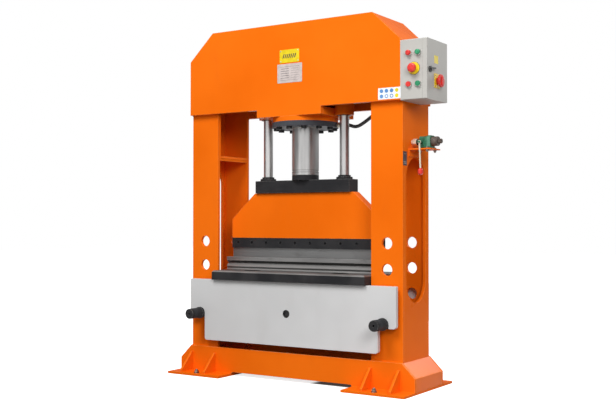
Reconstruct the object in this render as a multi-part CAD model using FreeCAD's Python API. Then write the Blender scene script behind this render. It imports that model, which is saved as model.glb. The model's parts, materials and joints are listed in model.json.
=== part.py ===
import FreeCAD, Part
import math
import os

# Hydraulic frame press with two box columns, a pinned table and a bending tool.
# Millimetres. Front is -Y, right is +X, up is +Z; the origin is on the floor under the frame's middle.

Vector = FreeCAD.Vector

# ---- Frame sizes
frame_width = 1310.0  # over the outer faces of the columns
frame_height = 1866.0
column_width = 176.0
column_depth = 286.0
column_plate = 18.0  # front and back plates of a column
column_side = 16.0  # outer side plate
slot_edge = 18.0  # left beside the long slot in each side plate
slot_bottom = 428.5
slot_drop = 272.5  # from the crown's lower edge to the slot's round top
shelf_drop = 228.0  # from the crown's lower edge to the folded shelf inside each column
shelf_plate = 10.0
shelf_lip = 26.0
first_pin_hole = 335.0  # height of the lowest pin hole
pin_hole_pitch = 130.0
pin_hole_count = 4

crown_plate = 25.0
crown_height = 444.0
shoulder_drop = 147.0  # height of the sloping corners
shoulder_run = 156.5
cover_sheet = 10.0
seat_half = 200.0  # half width of the block that carries the cylinder
seat_block_height = 40.0

base_plate = 15.0
base_top = 148.0
base_overhang = 71.0  # beyond the columns
base_corner = 78.0  # height where the sloping ends meet the upright ones
base_relief = 8.0
foot_plate = 12.0
foot_tongue = 102.0  # reach of the foot plates inside the columns
foot_depth = 540.0
rib_plate = 12.0
rib_reach = 100.0
rib_top = 115.0
rib_toe = 14.0
rib_inset = 7.0
anchor_end = 178.0  # from the foot plate's outer end
anchor_edge = 30.0
anchor_hole_radius = 12.0

# ---- Cylinder, ram and guides
rod_radius = 72.0
piston_radius = 90.0
piston_height = 60.0
barrel_wall = 35.0
barrel_head = 40.0
barrel_spare = 95.0  # room above the raised piston
stroke = 220.0
ring_wall = 50.0
ring_height = 25.0
flange_lip = 3.0  # beyond the seat ring
flange_height = 28.0
flange_bolt_count = 12
flange_bolt_edge = 20.0  # from the seat ring's rim
flange_bolt_radius = 10.0
flange_bolt_head = 13.0
flange_bolt_grip = 22.0  # length held in the seat ring
gland_wall = 15.0
gland_reach = 23.0  # stands up inside the barrel
rod_groove_height = 23.0  # above the rod's foot
rod_groove_width = 5.0
rod_groove_depth = 3.0
collar_height = 25.0
spigot_radius = 25.0
spigot_length = 12.0

guide_offset = 42.0  # from the seat block's end to the guide's line
guide_radius = 25.0
guide_tube_radius = 50.0
guide_tube_rise = 5.0  # from the seat block's underside to the tube's foot
guide_tube_length = 213.0
guide_bush_wall = 7.0
guide_bush_length = 70.0
guide_bush_rim = 4.0
guide_bush_lip = 4.0
guide_top_spare = 10.0  # rod standing above its tube at rest
guide_socket = 30.0
guide_collar_radius = 43.0
guide_collar_height = 12.0
guide_collar_step = 33.0
guide_collar_step_height = 9.0

platen_end = 56.0  # beyond the guides
platen_depth = 90.0
platen_height = 67.0
beam_plate = 60.0
beam_ledge = 14.0  # beyond the platen
beam_gap = 13.0  # to the columns
beam_slope = 139.0  # drop of the sloping shoulders
beam_height = 243.0
edge_break = 2.0

# ---- Bending tool
holder_height = 54.0
tang_width = 26.0
tang_height = 30.0
clamp_screw_count = 10
clamp_screw_end = 40.75  # from the holder's end to the first screw
clamp_screw_height = 28.0  # above the holder's lower edge
clamp_head_radius = 12.0
clamp_head_length = 14.0
clamp_shank_radius = 8.0
hex_socket = 14.0  # across flats
hex_depth = 8.0
punch_width = 40.0
punch_shank = 54.0  # straight flank under the holder
punch_nose = 0.8  # half width of the blunt nose
tool_gap = 2.0  # between the punch's nose and the bottom of the die's V, closed
die_side = 70.0
die_shift = 34.0  # the die lies this far left of the punch
top_vee = 50.0
front_vee = 30.0
small_vee = 13.0
back_vee = 36.0
bottom_vee = 24.0
vee_slot_width = 3.0
vee_slot_depth = 5.0
small_vee_drop = 61.5  # below the die's top

# ---- Table
bolster_height = 50.0
bolster_depth = 406.0
bolster_chamfer = 8.0
bolster_hole_radius = 34.0
bolster_hole_x = 276.0
bolster_hole_y = 100.0
table_plate = 24.0
table_height = 330.5
table_rise = 183.0  # top edge above the pin holes' line
ear_half = 70.0
ear_drop = 23.0
table_corner = 15.0
lifting_hole_radius = 19.0
lifting_hole_rise = 20.0
tie_radius = 30.0
tie_wall = 5.0
tie_inner_x = 150.0
tie_outer_gap = 59.0  # from the outer tubes' line to the column
tie_rise = 74.5
pin_radius = 27.5
pin_play = 1.5  # radial, in the pin holes
pin_front_reach = 97.0  # beyond the table's front face
pin_back_reach = 41.0
pin_collar_radius = 31.0
pin_collar_length = 15.0
pin_centre_radius = 6.0
pin_centre_depth = 20.0

# ---- Control box on the right column
box_width = 118.0
box_back = 59.0
box_drop = 4.0  # below the crown plates
box_height = 292.0
box_sheet = 2.5
box_lip = 14.0
door_depth = 24.1
door_sheet = 2.0
hinge_radius = 6.0
hinge_pin_radius = 3.0
hinge_knuckle = 24.0
hinge_leaf = 16.0  # of the door's half
hinge_heights = (55.0, 215.0)  # above the box's bottom
device_radius = 10.8  # threaded barrels through the box's front
device_depth = 32.0
bezel_radius = 15.0
bezel_height = 8.0
cap_radius = 13.0
cap_rest = 1.0  # still proud when pressed
cap_height = 7.0
button_travel = 4.0
stem_radius = 7.0
left_device_inset = 47.0  # from the column
right_device_inset = 21.0  # from the box's door side
lamp_rise = 225.0  # rises are above the box's bottom
button_rise = 74.0
lamp_dome = 12.0
estop_inset = 73.4
estop_rise = 149.0
estop_ring_radius = 30.0
estop_ring_height = 3.0
estop_head_radius = 22.0
estop_neck_radius = 12.0
estop_proud = 32.0
estop_travel = 5.0
latch_inset = 29.0  # from the box's front
latch_rise = 144.0
latch_hub_radius = 14.0
latch_hub_height = 8.0
latch_arm = 42.0
latch_arm_width = 14.0
latch_tip_width = 7.0
latch_tip_rise = 7.0
latch_arm_thick = 7.0
latch_shaft_radius = 6.0
latch_cam = 24.0
latch_cam_thick = 5.0
latch_cam_gap = 1.2
switch_y = -58.5
switch_rise = 94.5
switch_plate_width = 59.0
switch_plate_height = 69.0
switch_plate_thick = 3.0
switch_boss_radius = 17.0
switch_boss_height = 15.0
switch_disc_radius = 31.0
switch_disc_height = 9.0
switch_disc_edge = 3.0
switch_grip = 42.0
switch_grip_width = 10.0
switch_grip_height = 4.0

# ---- Valve, hose and power unit
bracket_reach = 120.0
bracket_sheet = 6.0
bracket_leg = 38.0
bracket_front = 45.0  # before the valve's line
bracket_back = 67.0
bracket_drop = 233.0  # below the crown plates
valve_y = -40.0
valve_rise = 34.0  # above the bracket
valve_stand = 27.0  # from the column
valve_length = 63.0
valve_width = 50.0
valve_tall = 60.0
valve_corner = 8.0
valve_end_length = 19.0
valve_end_rim = 3.0
valve_cap_radius = 23.5
valve_cap_length = 34.0
valve_nut_radius = 10.0
valve_nut_length = 17.0
pipe_radius = 12.0
pipe_nut = 30.0  # across flats
pipe_nut_length = 18.0
elbow_depth = 35.0  # inside the column
elbow_rise = 25.0
lever_inset = 37.0  # from the start of the valve's body
lever_stand = 26.0  # before the valve's body
lever_pivot_drop = 3.0
lever_drop = 142.0
lever_lean = 5.0  # to the right
lever_width = 7.0
lever_thick = 4.0
lever_hub_radius = 8.0
lever_pin_radius = 5.0
lever_knob_radius = 13.0
lever_knob_length = 34.0
lever_ferrule_radius = 6.0
hose_radius = 9.0
hose_leaving = ((45.0, 0.0, 0.0), (97.0, 0.0, -9.0), (154.0, -2.0, -2.0), (205.0, -6.0, 29.0))  # from the port's nut
hose_crossing = ((7.0, -19.0, 87.0), (62.0, -34.0, 89.0))  # from the column's edge and the port's line
hose_falling = ((-30.0, 38.0, 183.0), (-2.0, 19.0, 135.0), (0.0, 0.0, 77.0))  # from the elbow
port_y = 50.0
port_nut_radius = 14.0
port_nut_length = 16.0
port_depth = 30.0
tank_gap = 8.0  # to the guide tube
tank_column_gap = 11.0
tank_rise = 58.0  # above the crown's lower edge
tank_height = 350.0
tank_depth = 260.0
tank_corner = 15.0
motor_y = 30.0
motor_gap = 15.0  # to the guide tube and the column
motor_length = 240.0
motor_rise = 148.0
pump_radius = 45.0
pump_length = 65.0
motor_foot_width = 90.0

# ---- Clearances
run_gap = 0.05  # radial, between pieces that run on each other
fit_gap = 0.3  # between pieces that seat or pass
column_gap = 4.0  # bolster to column
table_gap = 17.3  # table plate to column
door_gap = 0.6
seat_gap = 0.1  # under a round piece that lies in a round hole

# ---- Places that follow from the sizes
column_outer = frame_width / 2
column_inner = column_outer - column_width
column_face = column_depth / 2
crown_face = column_face + crown_plate
crown_bottom = frame_height - crown_height
crown_shoulder = frame_height - shoulder_drop
crown_top_half = column_outer - shoulder_run
slot_half_width = column_face - column_plate - slot_edge
slot_top = crown_bottom - slot_drop
shelf_top = crown_bottom - shelf_drop
base_face = column_face + base_plate
base_half = column_outer + base_overhang
foot_inner = column_inner - foot_tongue
anchor_x = base_half - anchor_end
anchor_y = foot_depth / 2 - anchor_edge
table_inner = column_face + table_gap
table_face = table_inner + table_plate
table_top = first_pin_hole + table_rise
table_bottom = table_top - table_height
pin_x = column_outer - column_width / 2
pin_hole_radius = pin_radius + pin_play
notch_radius = pin_hole_radius
seat_bottom = crown_bottom - seat_block_height
ring_bottom = seat_bottom - ring_height
flange_bottom = ring_bottom - flange_height
gland_top = ring_bottom + gland_reach
barrel_radius = piston_radius + barrel_wall
ring_radius = barrel_radius + ring_wall
flange_radius = ring_radius + flange_lip
flange_bolt_circle = ring_radius - flange_bolt_edge
piston_bottom = gland_top + fit_gap
barrel_top = piston_bottom + piston_height + stroke + barrel_spare
guide_x = seat_half + guide_offset
guide_tube_bottom = seat_bottom + guide_tube_rise
platen_half = guide_x + platen_end
beam_top_half = platen_half + beam_ledge
beam_half = column_inner - beam_gap
die_bottom = table_top + bolster_height
die_top = die_bottom + die_side
punch_tip = die_top - top_vee / 2 + tool_gap + punch_nose
punch_vee_top = punch_tip + punch_width / 2 - punch_nose
holder_bottom = punch_vee_top + punch_shank
beam_bottom = holder_bottom + holder_height
beam_top = beam_bottom + beam_height
platen_top = beam_top + platen_height
rod_bottom = platen_top + collar_height
bolster_half = column_inner - column_gap
box_front = -crown_face
box_face = column_outer + box_width
box_bottom = crown_bottom - box_drop
box_top = box_bottom + box_height
door_back = box_face + door_gap
door_face = door_back + door_depth
cap_proud = cap_rest + button_travel
left_device_x = column_outer + left_device_inset
right_device_x = box_face - right_device_inset
estop_x = column_outer + estop_inset
lamp_height = box_bottom + lamp_rise
button_height = box_bottom + button_rise
estop_height = box_bottom + estop_rise
latch_y = box_front + latch_inset
latch_height = box_bottom + latch_rise
switch_height = box_bottom + switch_rise
bracket_top = crown_bottom - bracket_drop
valve_height = bracket_top + valve_rise
valve_start = column_outer + valve_stand
elbow_x = column_outer - elbow_depth
lever_x = valve_start + lever_inset
lever_y = valve_y - valve_width / 2 - lever_stand
lever_height = valve_height - lever_pivot_drop
tank_inner = guide_x + guide_tube_radius + tank_gap
tank_outer = column_inner - tank_column_gap
tank_bottom = crown_bottom + tank_rise
motor_left = guide_x + guide_tube_radius + motor_gap
motor_right = column_inner - motor_gap
motor_bottom = crown_bottom + motor_rise


# ---- Building helpers
def block(x0, x1, y0, y1, z0, z1):
    return Part.makeBox(x1 - x0, y1 - y0, z1 - z0, Vector(x0, y0, z0))


def bar(radius, start, direction, length):
    return Part.makeCylinder(radius, length, Vector(*start), Vector(*direction))


def hexagon(flats, start, direction, length):
    points = [
        Vector(flats / math.sqrt(3) * math.cos(k * math.pi / 3), flats / math.sqrt(3) * math.sin(k * math.pi / 3), 0)
        for k in range(6)
    ]
    prism = Part.Face(Part.makePolygon(points + points[:1])).extrude(Vector(0, 0, length))
    prism.Placement = FreeCAD.Placement(Vector(*start), FreeCAD.Rotation(Vector(0, 0, 1), Vector(*direction)))
    return prism


def rounded_wire(corners, place):
    """Closed wire through (u, v, radius) corners; place turns (u, v) into a point."""
    edges = []
    ends = []
    for k, (u, v, radius) in enumerate(corners):
        before = corners[k - 1]
        after = corners[(k + 1) % len(corners)]
        here = Vector(u, v, 0)
        to_before = (Vector(before[0], before[1], 0) - here).normalize()
        to_after = (Vector(after[0], after[1], 0) - here).normalize()
        if radius == 0:
            ends.append((here, here))
            continue
        half = to_before.getAngle(to_after) / 2
        reach = radius / math.tan(half)
        middle = (to_before + to_after).normalize()
        crest = here + middle * (radius / math.sin(half) - radius)
        start = here + to_before * reach
        end = here + to_after * reach
        edges.append(Part.Arc(place(start), place(crest), place(end)).toShape())
        ends.append((start, end))
    for k, (start, end) in enumerate(ends):
        following = ends[(k + 1) % len(ends)][0]
        if (following - end).Length > 1e-6:
            edges.append(Part.makeLine(place(end), place(following)))
    return Part.Wire(Part.__sortEdges__(edges))


def plate_xz(corners, y0, y1):
    """Plate cut to an outline of (x, z, corner radius), standing between y0 and y1."""
    wire = rounded_wire(corners, lambda p: Vector(p.x, y0, p.y))
    return Part.Face(wire).extrude(Vector(0, y1 - y0, 0))


def plate_yz(corners, x0, x1):
    """Plate cut to an outline of (y, z, corner radius), standing between x0 and x1."""
    wire = rounded_wire(corners, lambda p: Vector(x0, p.x, p.y))
    return Part.Face(wire).extrude(Vector(x1 - x0, 0, 0))


def turned(profile, centre, direction):
    """Solid turned from (radius, height) points about a line through centre."""
    points = [Vector(r, 0, h) for r, h in profile]
    solid = Part.Face(Part.makePolygon(points + points[:1])).revolve(Vector(), Vector(0, 0, 1), 360)
    solid.Placement = FreeCAD.Placement(Vector(*centre), FreeCAD.Rotation(Vector(0, 0, 1), Vector(*direction)))
    return solid


def tube(outer, inner, start, direction, length):
    return bar(outer, start, direction, length).cut(bar(inner, start, direction, length))


def flip_x(shape):
    return shape.mirror(Vector(), Vector(1, 0, 0))


def flip_y(shape):
    return shape.mirror(Vector(), Vector(0, 1, 0))


def both_sides(corners):
    """Outline symmetric about x = 0, from its right half listed from the top down."""
    return corners + [(-x, z, r) for x, z, r in reversed(corners)]


def group(shapes):
    return Part.makeCompound(shapes)


# ---- Frame
def crown_front_plate():
    outline = both_sides(
        [
            (crown_top_half, frame_height, 0),
            (column_outer, crown_shoulder, 0),
            (column_outer, crown_bottom, 0),
            (seat_half, crown_bottom, 0),
            (seat_half, seat_bottom, 0),
        ]
    )
    return plate_xz(outline, -crown_face, -column_face)


def crown_cover():
    """Sheet folded over the crown, flush with the plates' edges."""
    slope = math.atan2(shoulder_drop, shoulder_run)
    inner_top_half = crown_top_half - cover_sheet * math.tan(slope / 2)
    inner_foot = column_outer - cover_sheet / math.sin(slope)
    outline = both_sides([(crown_top_half, frame_height, 0), (column_outer, crown_shoulder, 0)])
    hollow = both_sides([(inner_top_half, frame_height - cover_sheet, 0), (inner_foot, crown_shoulder, 0)])
    return plate_xz(outline, -column_face, column_face).cut(plate_xz(hollow, -column_face, column_face))


def crown_seat_block():
    """Thick block between the crown plates, bored for the cylinder and saddled for the guide tubes."""
    solid = block(-seat_half, seat_half, -column_face, column_face, seat_bottom, crown_bottom)
    cuts = [bar(barrel_radius + fit_gap, (0, 0, seat_bottom), (0, 0, 1), seat_block_height)]
    for side in (-1, 1):
        start = (side * guide_x, 0, seat_bottom)
        cuts.append(bar(guide_tube_radius + seat_gap, start, (0, 0, 1), seat_block_height))
    return solid.cut(cuts)


def seat_ring():
    start = (0, 0, ring_bottom)
    ring = tube(ring_radius, barrel_radius + fit_gap, start, (0, 0, 1), ring_height)
    return ring.cut(flange_bolt_holes(ring_bottom, flange_bolt_grip + fit_gap))


def column_front_plate():
    plate = block(column_inner, column_outer, -column_face, -column_face + column_plate, foot_plate, crown_shoulder)
    return plate.cut(pin_holes())


def pin_holes():
    """Row of cross holes through a column for the table's pins."""
    return [
        bar(pin_hole_radius, (pin_x, -column_face, pin_hole_centre(k)), (0, 1, 0), column_depth)
        for k in range(pin_hole_count)
    ]


def pin_hole_centre(k):
    return first_pin_hole + k * pin_hole_pitch


def column_side_plate():
    """Outer side plate with its long round-ended slot and the hole for the valve's pipe."""
    inner = column_outer - column_side
    depth = column_face - column_plate
    plate = block(inner, column_outer, -depth, depth, foot_plate, crown_shoulder)
    slot = [
        (slot_half_width, slot_top, slot_half_width - fit_gap),
        (slot_half_width, slot_bottom, slot_half_width - fit_gap),
        (-slot_half_width, slot_bottom, slot_half_width - fit_gap),
        (-slot_half_width, slot_top, slot_half_width - fit_gap),
    ]
    return plate.cut(plate_yz(slot, inner, column_outer))


def right_column_side_plate():
    hole = bar(pipe_radius + fit_gap, (column_outer - column_side, valve_y, valve_height), (1, 0, 0), column_side)
    return column_side_plate().cut(hole)


def column_shelf():
    """Shelf folded down at the column's open side."""
    depth = column_face - column_plate
    top = block(column_inner, column_outer - column_side, -depth, depth, shelf_top - shelf_plate, shelf_top)
    lip = block(column_inner, column_inner + shelf_plate, -depth, depth, shelf_top - shelf_lip, shelf_top)
    return top.fuse(lip).removeSplitter()


def base_front_plate():
    outline = both_sides(
        [
            (column_outer, base_top, 0),
            (base_half, base_corner, 0),
            (base_half, foot_plate, 0),
            (foot_inner, foot_plate, 0),
            (foot_inner - base_relief, foot_plate + base_relief, 0),
        ]
    )
    return plate_xz(outline, -base_face, -column_face)


def base_end_cover():
    """Sheet folded over one end of the base, flush with the plates' edges."""
    slope = math.atan2(base_top - base_corner, base_overhang)
    inner_x = base_half - cover_sheet
    inner_z = base_corner - cover_sheet * math.tan((math.pi / 2 - slope) / 2)
    inner_top = base_top - cover_sheet / math.cos(slope)
    outline = [
        (column_outer, base_top, 0),
        (base_half, base_corner, 0),
        (base_half, foot_plate, 0),
        (inner_x, foot_plate, 0),
        (inner_x, inner_z, 0),
        (column_outer, inner_top, 0),
    ]
    return plate_xz(outline, -column_face, column_face)


def foot_plate_right():
    half_depth = foot_depth / 2
    plate = block(foot_inner, base_half, -half_depth, half_depth, 0, foot_plate)
    holes = [bar(anchor_hole_radius, (anchor_x, y, 0), (0, 0, 1), foot_plate) for y in (-anchor_y, anchor_y)]
    return plate.cut(holes)


def foot_ribs():
    """Sloping gussets between the foot plates and the base plates."""
    ribs = []
    outline = [
        (-base_face, foot_plate, 0),
        (-base_face, rib_top, 0),
        (-base_face - rib_toe, rib_top, 0),
        (-base_face - rib_reach, foot_plate + rib_toe, 0),
        (-base_face - rib_reach, foot_plate, 0),
    ]
    for x in (column_inner, column_outer - rib_inset - rib_plate):
        rib = plate_yz(outline, x, x + rib_plate)
        ribs += [rib, flip_y(rib), flip_x(rib), flip_x(flip_y(rib))]
    return group(ribs)


# ---- Cylinder
def flange_bolt_places():
    step = 2 * math.pi / flange_bolt_count
    circle = flange_bolt_circle
    return [(circle * math.cos(k * step), circle * math.sin(k * step)) for k in range(flange_bolt_count)]


def flange_bolt_holes(z, length):
    radius = flange_bolt_radius + fit_gap
    return [bar(radius, (x, y, z), (0, 0, 1), length) for x, y in flange_bolt_places()]


def cylinder_barrel():
    """Thick tube with a closed head, standing on the flange."""
    height = barrel_top + barrel_head - ring_bottom
    body = bar(barrel_radius, (0, 0, ring_bottom), (0, 0, 1), height)
    body = body.makeChamfer(edge_break * 2, [edge for edge in body.Edges if edge.BoundBox.ZMin > barrel_top])
    return body.cut(bar(piston_radius, (0, 0, ring_bottom), (0, 0, 1), barrel_top - ring_bottom))


def cylinder_flange():
    """Black flange under the seat ring, bored for the gland, the bolts and the oil port."""
    flange = bar(flange_radius, (0, 0, flange_bottom), (0, 0, 1), flange_height)
    rims = [edge for edge in flange.Edges if edge.Length > flange_radius * 2]
    flange = flange.makeChamfer(edge_break, rims)
    flange = flange.cut(bar(rod_radius + gland_wall + fit_gap, (0, 0, flange_bottom), (0, 0, 1), flange_height))
    flange = flange.cut(flange_bolt_holes(flange_bottom, flange_height))
    port_start = flange_edge_x() - port_depth
    return flange.cut(bar(hose_radius + fit_gap, (port_start, port_y, port_centre()), (1, 0, 0), 2 * port_depth))


def flange_edge_x():
    """Where the oil port's line leaves the flange."""
    return math.sqrt(flange_radius**2 - port_y**2)


def port_centre():
    return flange_bottom + flange_height / 2


def port_nut_start():
    """Clear of the flange's round edge beside the port."""
    return math.sqrt(flange_radius**2 - (port_y - port_nut_radius) ** 2) + fit_gap


def flange_bolts():
    """Hexagon bolts up through the flange into the seat ring."""
    bolts = []
    grip = flange_height + flange_bolt_grip
    for x, y in flange_bolt_places():
        start = (x, y, flange_bottom - flange_bolt_head)
        head = hexagon(3 * flange_bolt_radius, start, (0, 0, 1), flange_bolt_head)
        shank = bar(flange_bolt_radius, (x, y, flange_bottom), (0, 0, 1), grip)
        bolts.append(head.fuse(shank))
    return group(bolts)


def rod_gland():
    """Stepped bush that guides the rod."""
    outer = rod_radius + gland_wall
    bore = rod_radius + run_gap
    profile = [
        (bore, flange_bottom),
        (outer, flange_bottom),
        (outer, ring_bottom),
        (piston_radius - fit_gap, ring_bottom),
        (piston_radius - fit_gap, gland_top),
        (bore, gland_top),
    ]
    return turned(profile, (0, 0, 0), (0, 0, 1))


def piston_rod():
    """Piston and rod turned as one, with a groove round the rod's foot."""
    piston = piston_radius - run_gap
    groove = rod_bottom + rod_groove_height
    socket = spigot_length + fit_gap
    profile = [
        (0, rod_bottom + socket),
        (spigot_radius + fit_gap, rod_bottom + socket),
        (spigot_radius + fit_gap, rod_bottom),
        (rod_radius - edge_break, rod_bottom),
        (rod_radius, rod_bottom + edge_break),
        (rod_radius, groove - rod_groove_width / 2),
        (rod_radius - rod_groove_depth, groove - rod_groove_width / 2),
        (rod_radius - rod_groove_depth, groove + rod_groove_width / 2),
        (rod_radius, groove + rod_groove_width / 2),
        (rod_radius, piston_bottom),
        (piston, piston_bottom),
        (piston, piston_bottom + piston_height),
        (0, piston_bottom + piston_height),
    ]
    return turned(profile, (0, 0, 0), (0, 0, 1))


def rod_collar():
    """Thrust piece between rod and platen, with a spigot up and a spigot down."""
    body = bar(rod_radius, (0, 0, platen_top), (0, 0, 1), collar_height)
    spigot = bar(spigot_radius, (0, 0, platen_top - spigot_length), (0, 0, 1), collar_height + 2 * spigot_length)
    return body.fuse(spigot)


# ---- Guides
def guide_tube():
    start = (guide_x, 0, guide_tube_bottom)
    bore = guide_radius + guide_bush_wall + fit_gap
    return tube(guide_tube_radius, bore, start, (0, 0, 1), guide_tube_length)


def guide_bush(bottom):
    """Flanged bush; the rim faces down at the tube's foot and up at its top."""
    outer = guide_radius + guide_bush_wall
    rim = outer + guide_bush_lip
    bore = guide_radius + run_gap
    low = -guide_bush_rim
    profile = [(bore, low), (rim, low), (rim, 0), (outer, 0), (outer, guide_bush_length), (bore, guide_bush_length)]
    direction = (0, 0, 1) if bottom else (0, 0, -1)
    height = guide_tube_bottom if bottom else guide_tube_bottom + guide_tube_length
    return turned(profile, (guide_x, 0, height), direction)


def guide_rod():
    bottom = platen_top - guide_socket
    top = guide_tube_bottom + guide_tube_length + guide_bush_rim + guide_top_spare
    rod = bar(guide_radius, (guide_x, 0, bottom), (0, 0, 1), top - bottom)
    return rod.makeChamfer(edge_break, [edge for edge in rod.Edges if edge.BoundBox.ZMin > top - edge_break])


def guide_collar():
    """Two-step collar round the rod's foot."""
    bore = guide_radius + fit_gap
    step = guide_collar_height
    full = guide_collar_height + guide_collar_step_height
    profile = [
        (bore, 0),
        (guide_collar_radius, 0),
        (guide_collar_radius, step - edge_break),
        (guide_collar_radius - edge_break, step),
        (guide_collar_step, step),
        (guide_collar_step, full),
        (bore, full),
    ]
    return turned(profile, (guide_x, 0, platen_top), (0, 0, 1))


# ---- Ram
def platen():
    solid = block(-platen_half, platen_half, -platen_depth / 2, platen_depth / 2, beam_top, platen_top)
    solid = solid.makeChamfer(edge_break, solid.Edges)
    sockets = [bar(spigot_radius + fit_gap, (0, 0, platen_top), (0, 0, -1), spigot_length + fit_gap)]
    for side in (-1, 1):
        sockets.append(bar(guide_radius + fit_gap, (side * guide_x, 0, platen_top), (0, 0, -1), guide_socket))
    return solid.cut(sockets)


def ram_beam():
    """Solid plate with sloping shoulders under the platen."""
    outline = both_sides(
        [(beam_top_half, beam_top, 0), (beam_half, beam_top - beam_slope, 0), (beam_half, beam_bottom, 0)]
    )
    return plate_xz(outline, -beam_plate / 2, beam_plate / 2)


def clamp_screw_places():
    first = clamp_screw_end - beam_half
    pitch = -2 * first / (clamp_screw_count - 1)
    return [first + k * pitch for k in range(clamp_screw_count)]


def punch_holder():
    """Bar with a groove for the punch's tang and counterbored holes for the clamp screws."""
    half = beam_plate / 2
    bar_solid = block(-beam_half, beam_half, -half, half, holder_bottom, beam_bottom)
    groove_half = tang_width / 2 + fit_gap
    groove_top = holder_bottom + tang_height + fit_gap
    cuts = [block(-beam_half, beam_half, -groove_half, groove_half, holder_bottom, groove_top)]
    height = holder_bottom + clamp_screw_height
    for x in clamp_screw_places():
        cuts.append(bar(clamp_shank_radius + fit_gap, (x, -half, height), (0, 1, 0), half))
        cuts.append(bar(clamp_head_radius + fit_gap, (x, -half, height), (0, 1, 0), clamp_head_length))
    return bar_solid.cut(cuts)


def holder_screws():
    """Socket-head screws that press on the tang."""
    screws = []
    half = beam_plate / 2
    height = holder_bottom + clamp_screw_height
    for x in clamp_screw_places():
        head = bar(clamp_head_radius, (x, -half, height), (0, 1, 0), clamp_head_length)
        shank = bar(clamp_shank_radius, (x, -half, height), (0, 1, 0), half - tang_width / 2)
        screw = head.fuse(shank).cut(hexagon(hex_socket, (x, -half, height), (0, 1, 0), hex_depth))
        screws.append(screw)
    return group(screws)


def punch():
    """Straight blade with a V edge, held by its tang."""
    tang = tang_width / 2
    half = punch_width / 2
    outline = [
        (tang, holder_bottom + tang_height, 0),
        (tang, holder_bottom, 0),
        (half, holder_bottom, 0),
        (half, punch_vee_top, 0),
        (punch_nose, punch_tip, 0),
    ]
    return plate_yz(both_sides(outline), -beam_half, beam_half)


def vee_notch(width):
    """Outline of a right-angled V with a relief slot at its root, opening towards +v."""
    half = width / 2
    neck = vee_slot_width / 2
    root = -half - vee_slot_depth * width / top_vee
    return [(half, 0), (neck, neck - half), (neck, root), (-neck, root), (-neck, neck - half), (-half, 0)]


def multi_v_die():
    """Square bar with a different V in each face, as long as the punch."""
    half = die_side / 2
    middle = die_bottom + half
    left = -die_shift - beam_half
    length = 2 * beam_half
    solid = block(left, left + length, -half, half, die_bottom, die_top)
    faces = [
        (top_vee, 0.0, die_top, 0),
        (front_vee, -half, middle, 90),
        (small_vee, -half, die_top - small_vee_drop, 90),
        (back_vee, half, middle, -90),
        (bottom_vee, 0.0, die_bottom, 180),
    ]
    for width, y, z, turn in faces:
        notch = [Vector(0, u, v) for u, v in vee_notch(width)]
        cutter = Part.Face(Part.makePolygon(notch + notch[:1])).extrude(Vector(length, 0, 0))
        cutter.rotate(Vector(), Vector(1, 0, 0), turn)
        cutter.translate(Vector(left, y, z))
        solid = solid.cut(cutter)
    return solid


# ---- Table
def bolster():
    """Thick slab on the table plates, with a broad chamfer and four tooling holes."""
    half = bolster_depth / 2
    slab = block(-bolster_half, bolster_half, -half, half, table_top, die_bottom)
    rim = [edge for edge in slab.Edges if edge.BoundBox.ZMin > die_bottom - 1]
    slab = slab.makeChamfer(bolster_chamfer, rim)
    holes = [
        bar(bolster_hole_radius, (sx * bolster_hole_x, sy * bolster_hole_y, table_top), (0, 0, 1), bolster_height)
        for sx in (-1, 1)
        for sy in (-1, 1)
    ]
    return slab.cut(holes)


def table_front_plate():
    """Plate hooked over the pins by a round-topped notch in each ear."""
    notch_top = first_pin_hole - (pin_hole_radius - pin_radius) + seat_gap + pin_radius + seat_gap
    notch_centre = notch_top - notch_radius
    ear_bottom = first_pin_hole - ear_drop
    hole_height = first_pin_hole + lifting_hole_rise
    outline = both_sides(
        [
            (pin_x + ear_half, table_top, table_corner / 3),
            (pin_x + ear_half, ear_bottom, table_corner),
            (pin_x + notch_radius, ear_bottom, 0),
            (pin_x + notch_radius, notch_centre, 0),
            (pin_x - notch_radius, notch_centre, 0),
            (pin_x - notch_radius, table_bottom, table_corner),
        ]
    )
    plate = plate_xz(outline, -table_face, -table_inner)
    cuts = [bar(notch_radius, (side * pin_x, -table_face, notch_centre), (0, 1, 0), table_plate) for side in (-1, 1)]
    cuts.append(bar(lifting_hole_radius, (0, -table_face, hole_height), (0, 1, 0), table_plate))
    return plate.cut(cuts)


def table_tie_tubes():
    """Distance tubes between the two table plates."""
    height = table_bottom + tie_rise
    ties = []
    for x in (tie_inner_x, column_inner - tie_outer_gap):
        for side in (-1, 1):
            start = (side * x, -table_inner, height)
            ties.append(tube(tie_radius, tie_radius - tie_wall, start, (0, 1, 0), 2 * table_inner))
    return group(ties)


def table_pin():
    """Cross pin with a stop collar and a centre hole in its front end."""
    front = -table_face - pin_front_reach
    length = 2 * table_face + pin_front_reach + pin_back_reach
    stop = pin_front_reach - pin_collar_length
    profile = [
        (0, pin_centre_depth),
        (pin_centre_radius, pin_centre_depth),
        (pin_centre_radius, 0),
        (pin_radius - edge_break, 0),
        (pin_radius, edge_break),
        (pin_radius, stop),
        (pin_collar_radius, stop),
        (pin_collar_radius, pin_front_reach - fit_gap),
        (pin_radius, pin_front_reach - fit_gap),
        (pin_radius, length - edge_break),
        (pin_radius - edge_break, length),
        (0, length),
    ]
    height = first_pin_hole - (pin_hole_radius - pin_radius) + seat_gap
    return turned(profile, (pin_x, front, height), (0, 1, 0))


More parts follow.
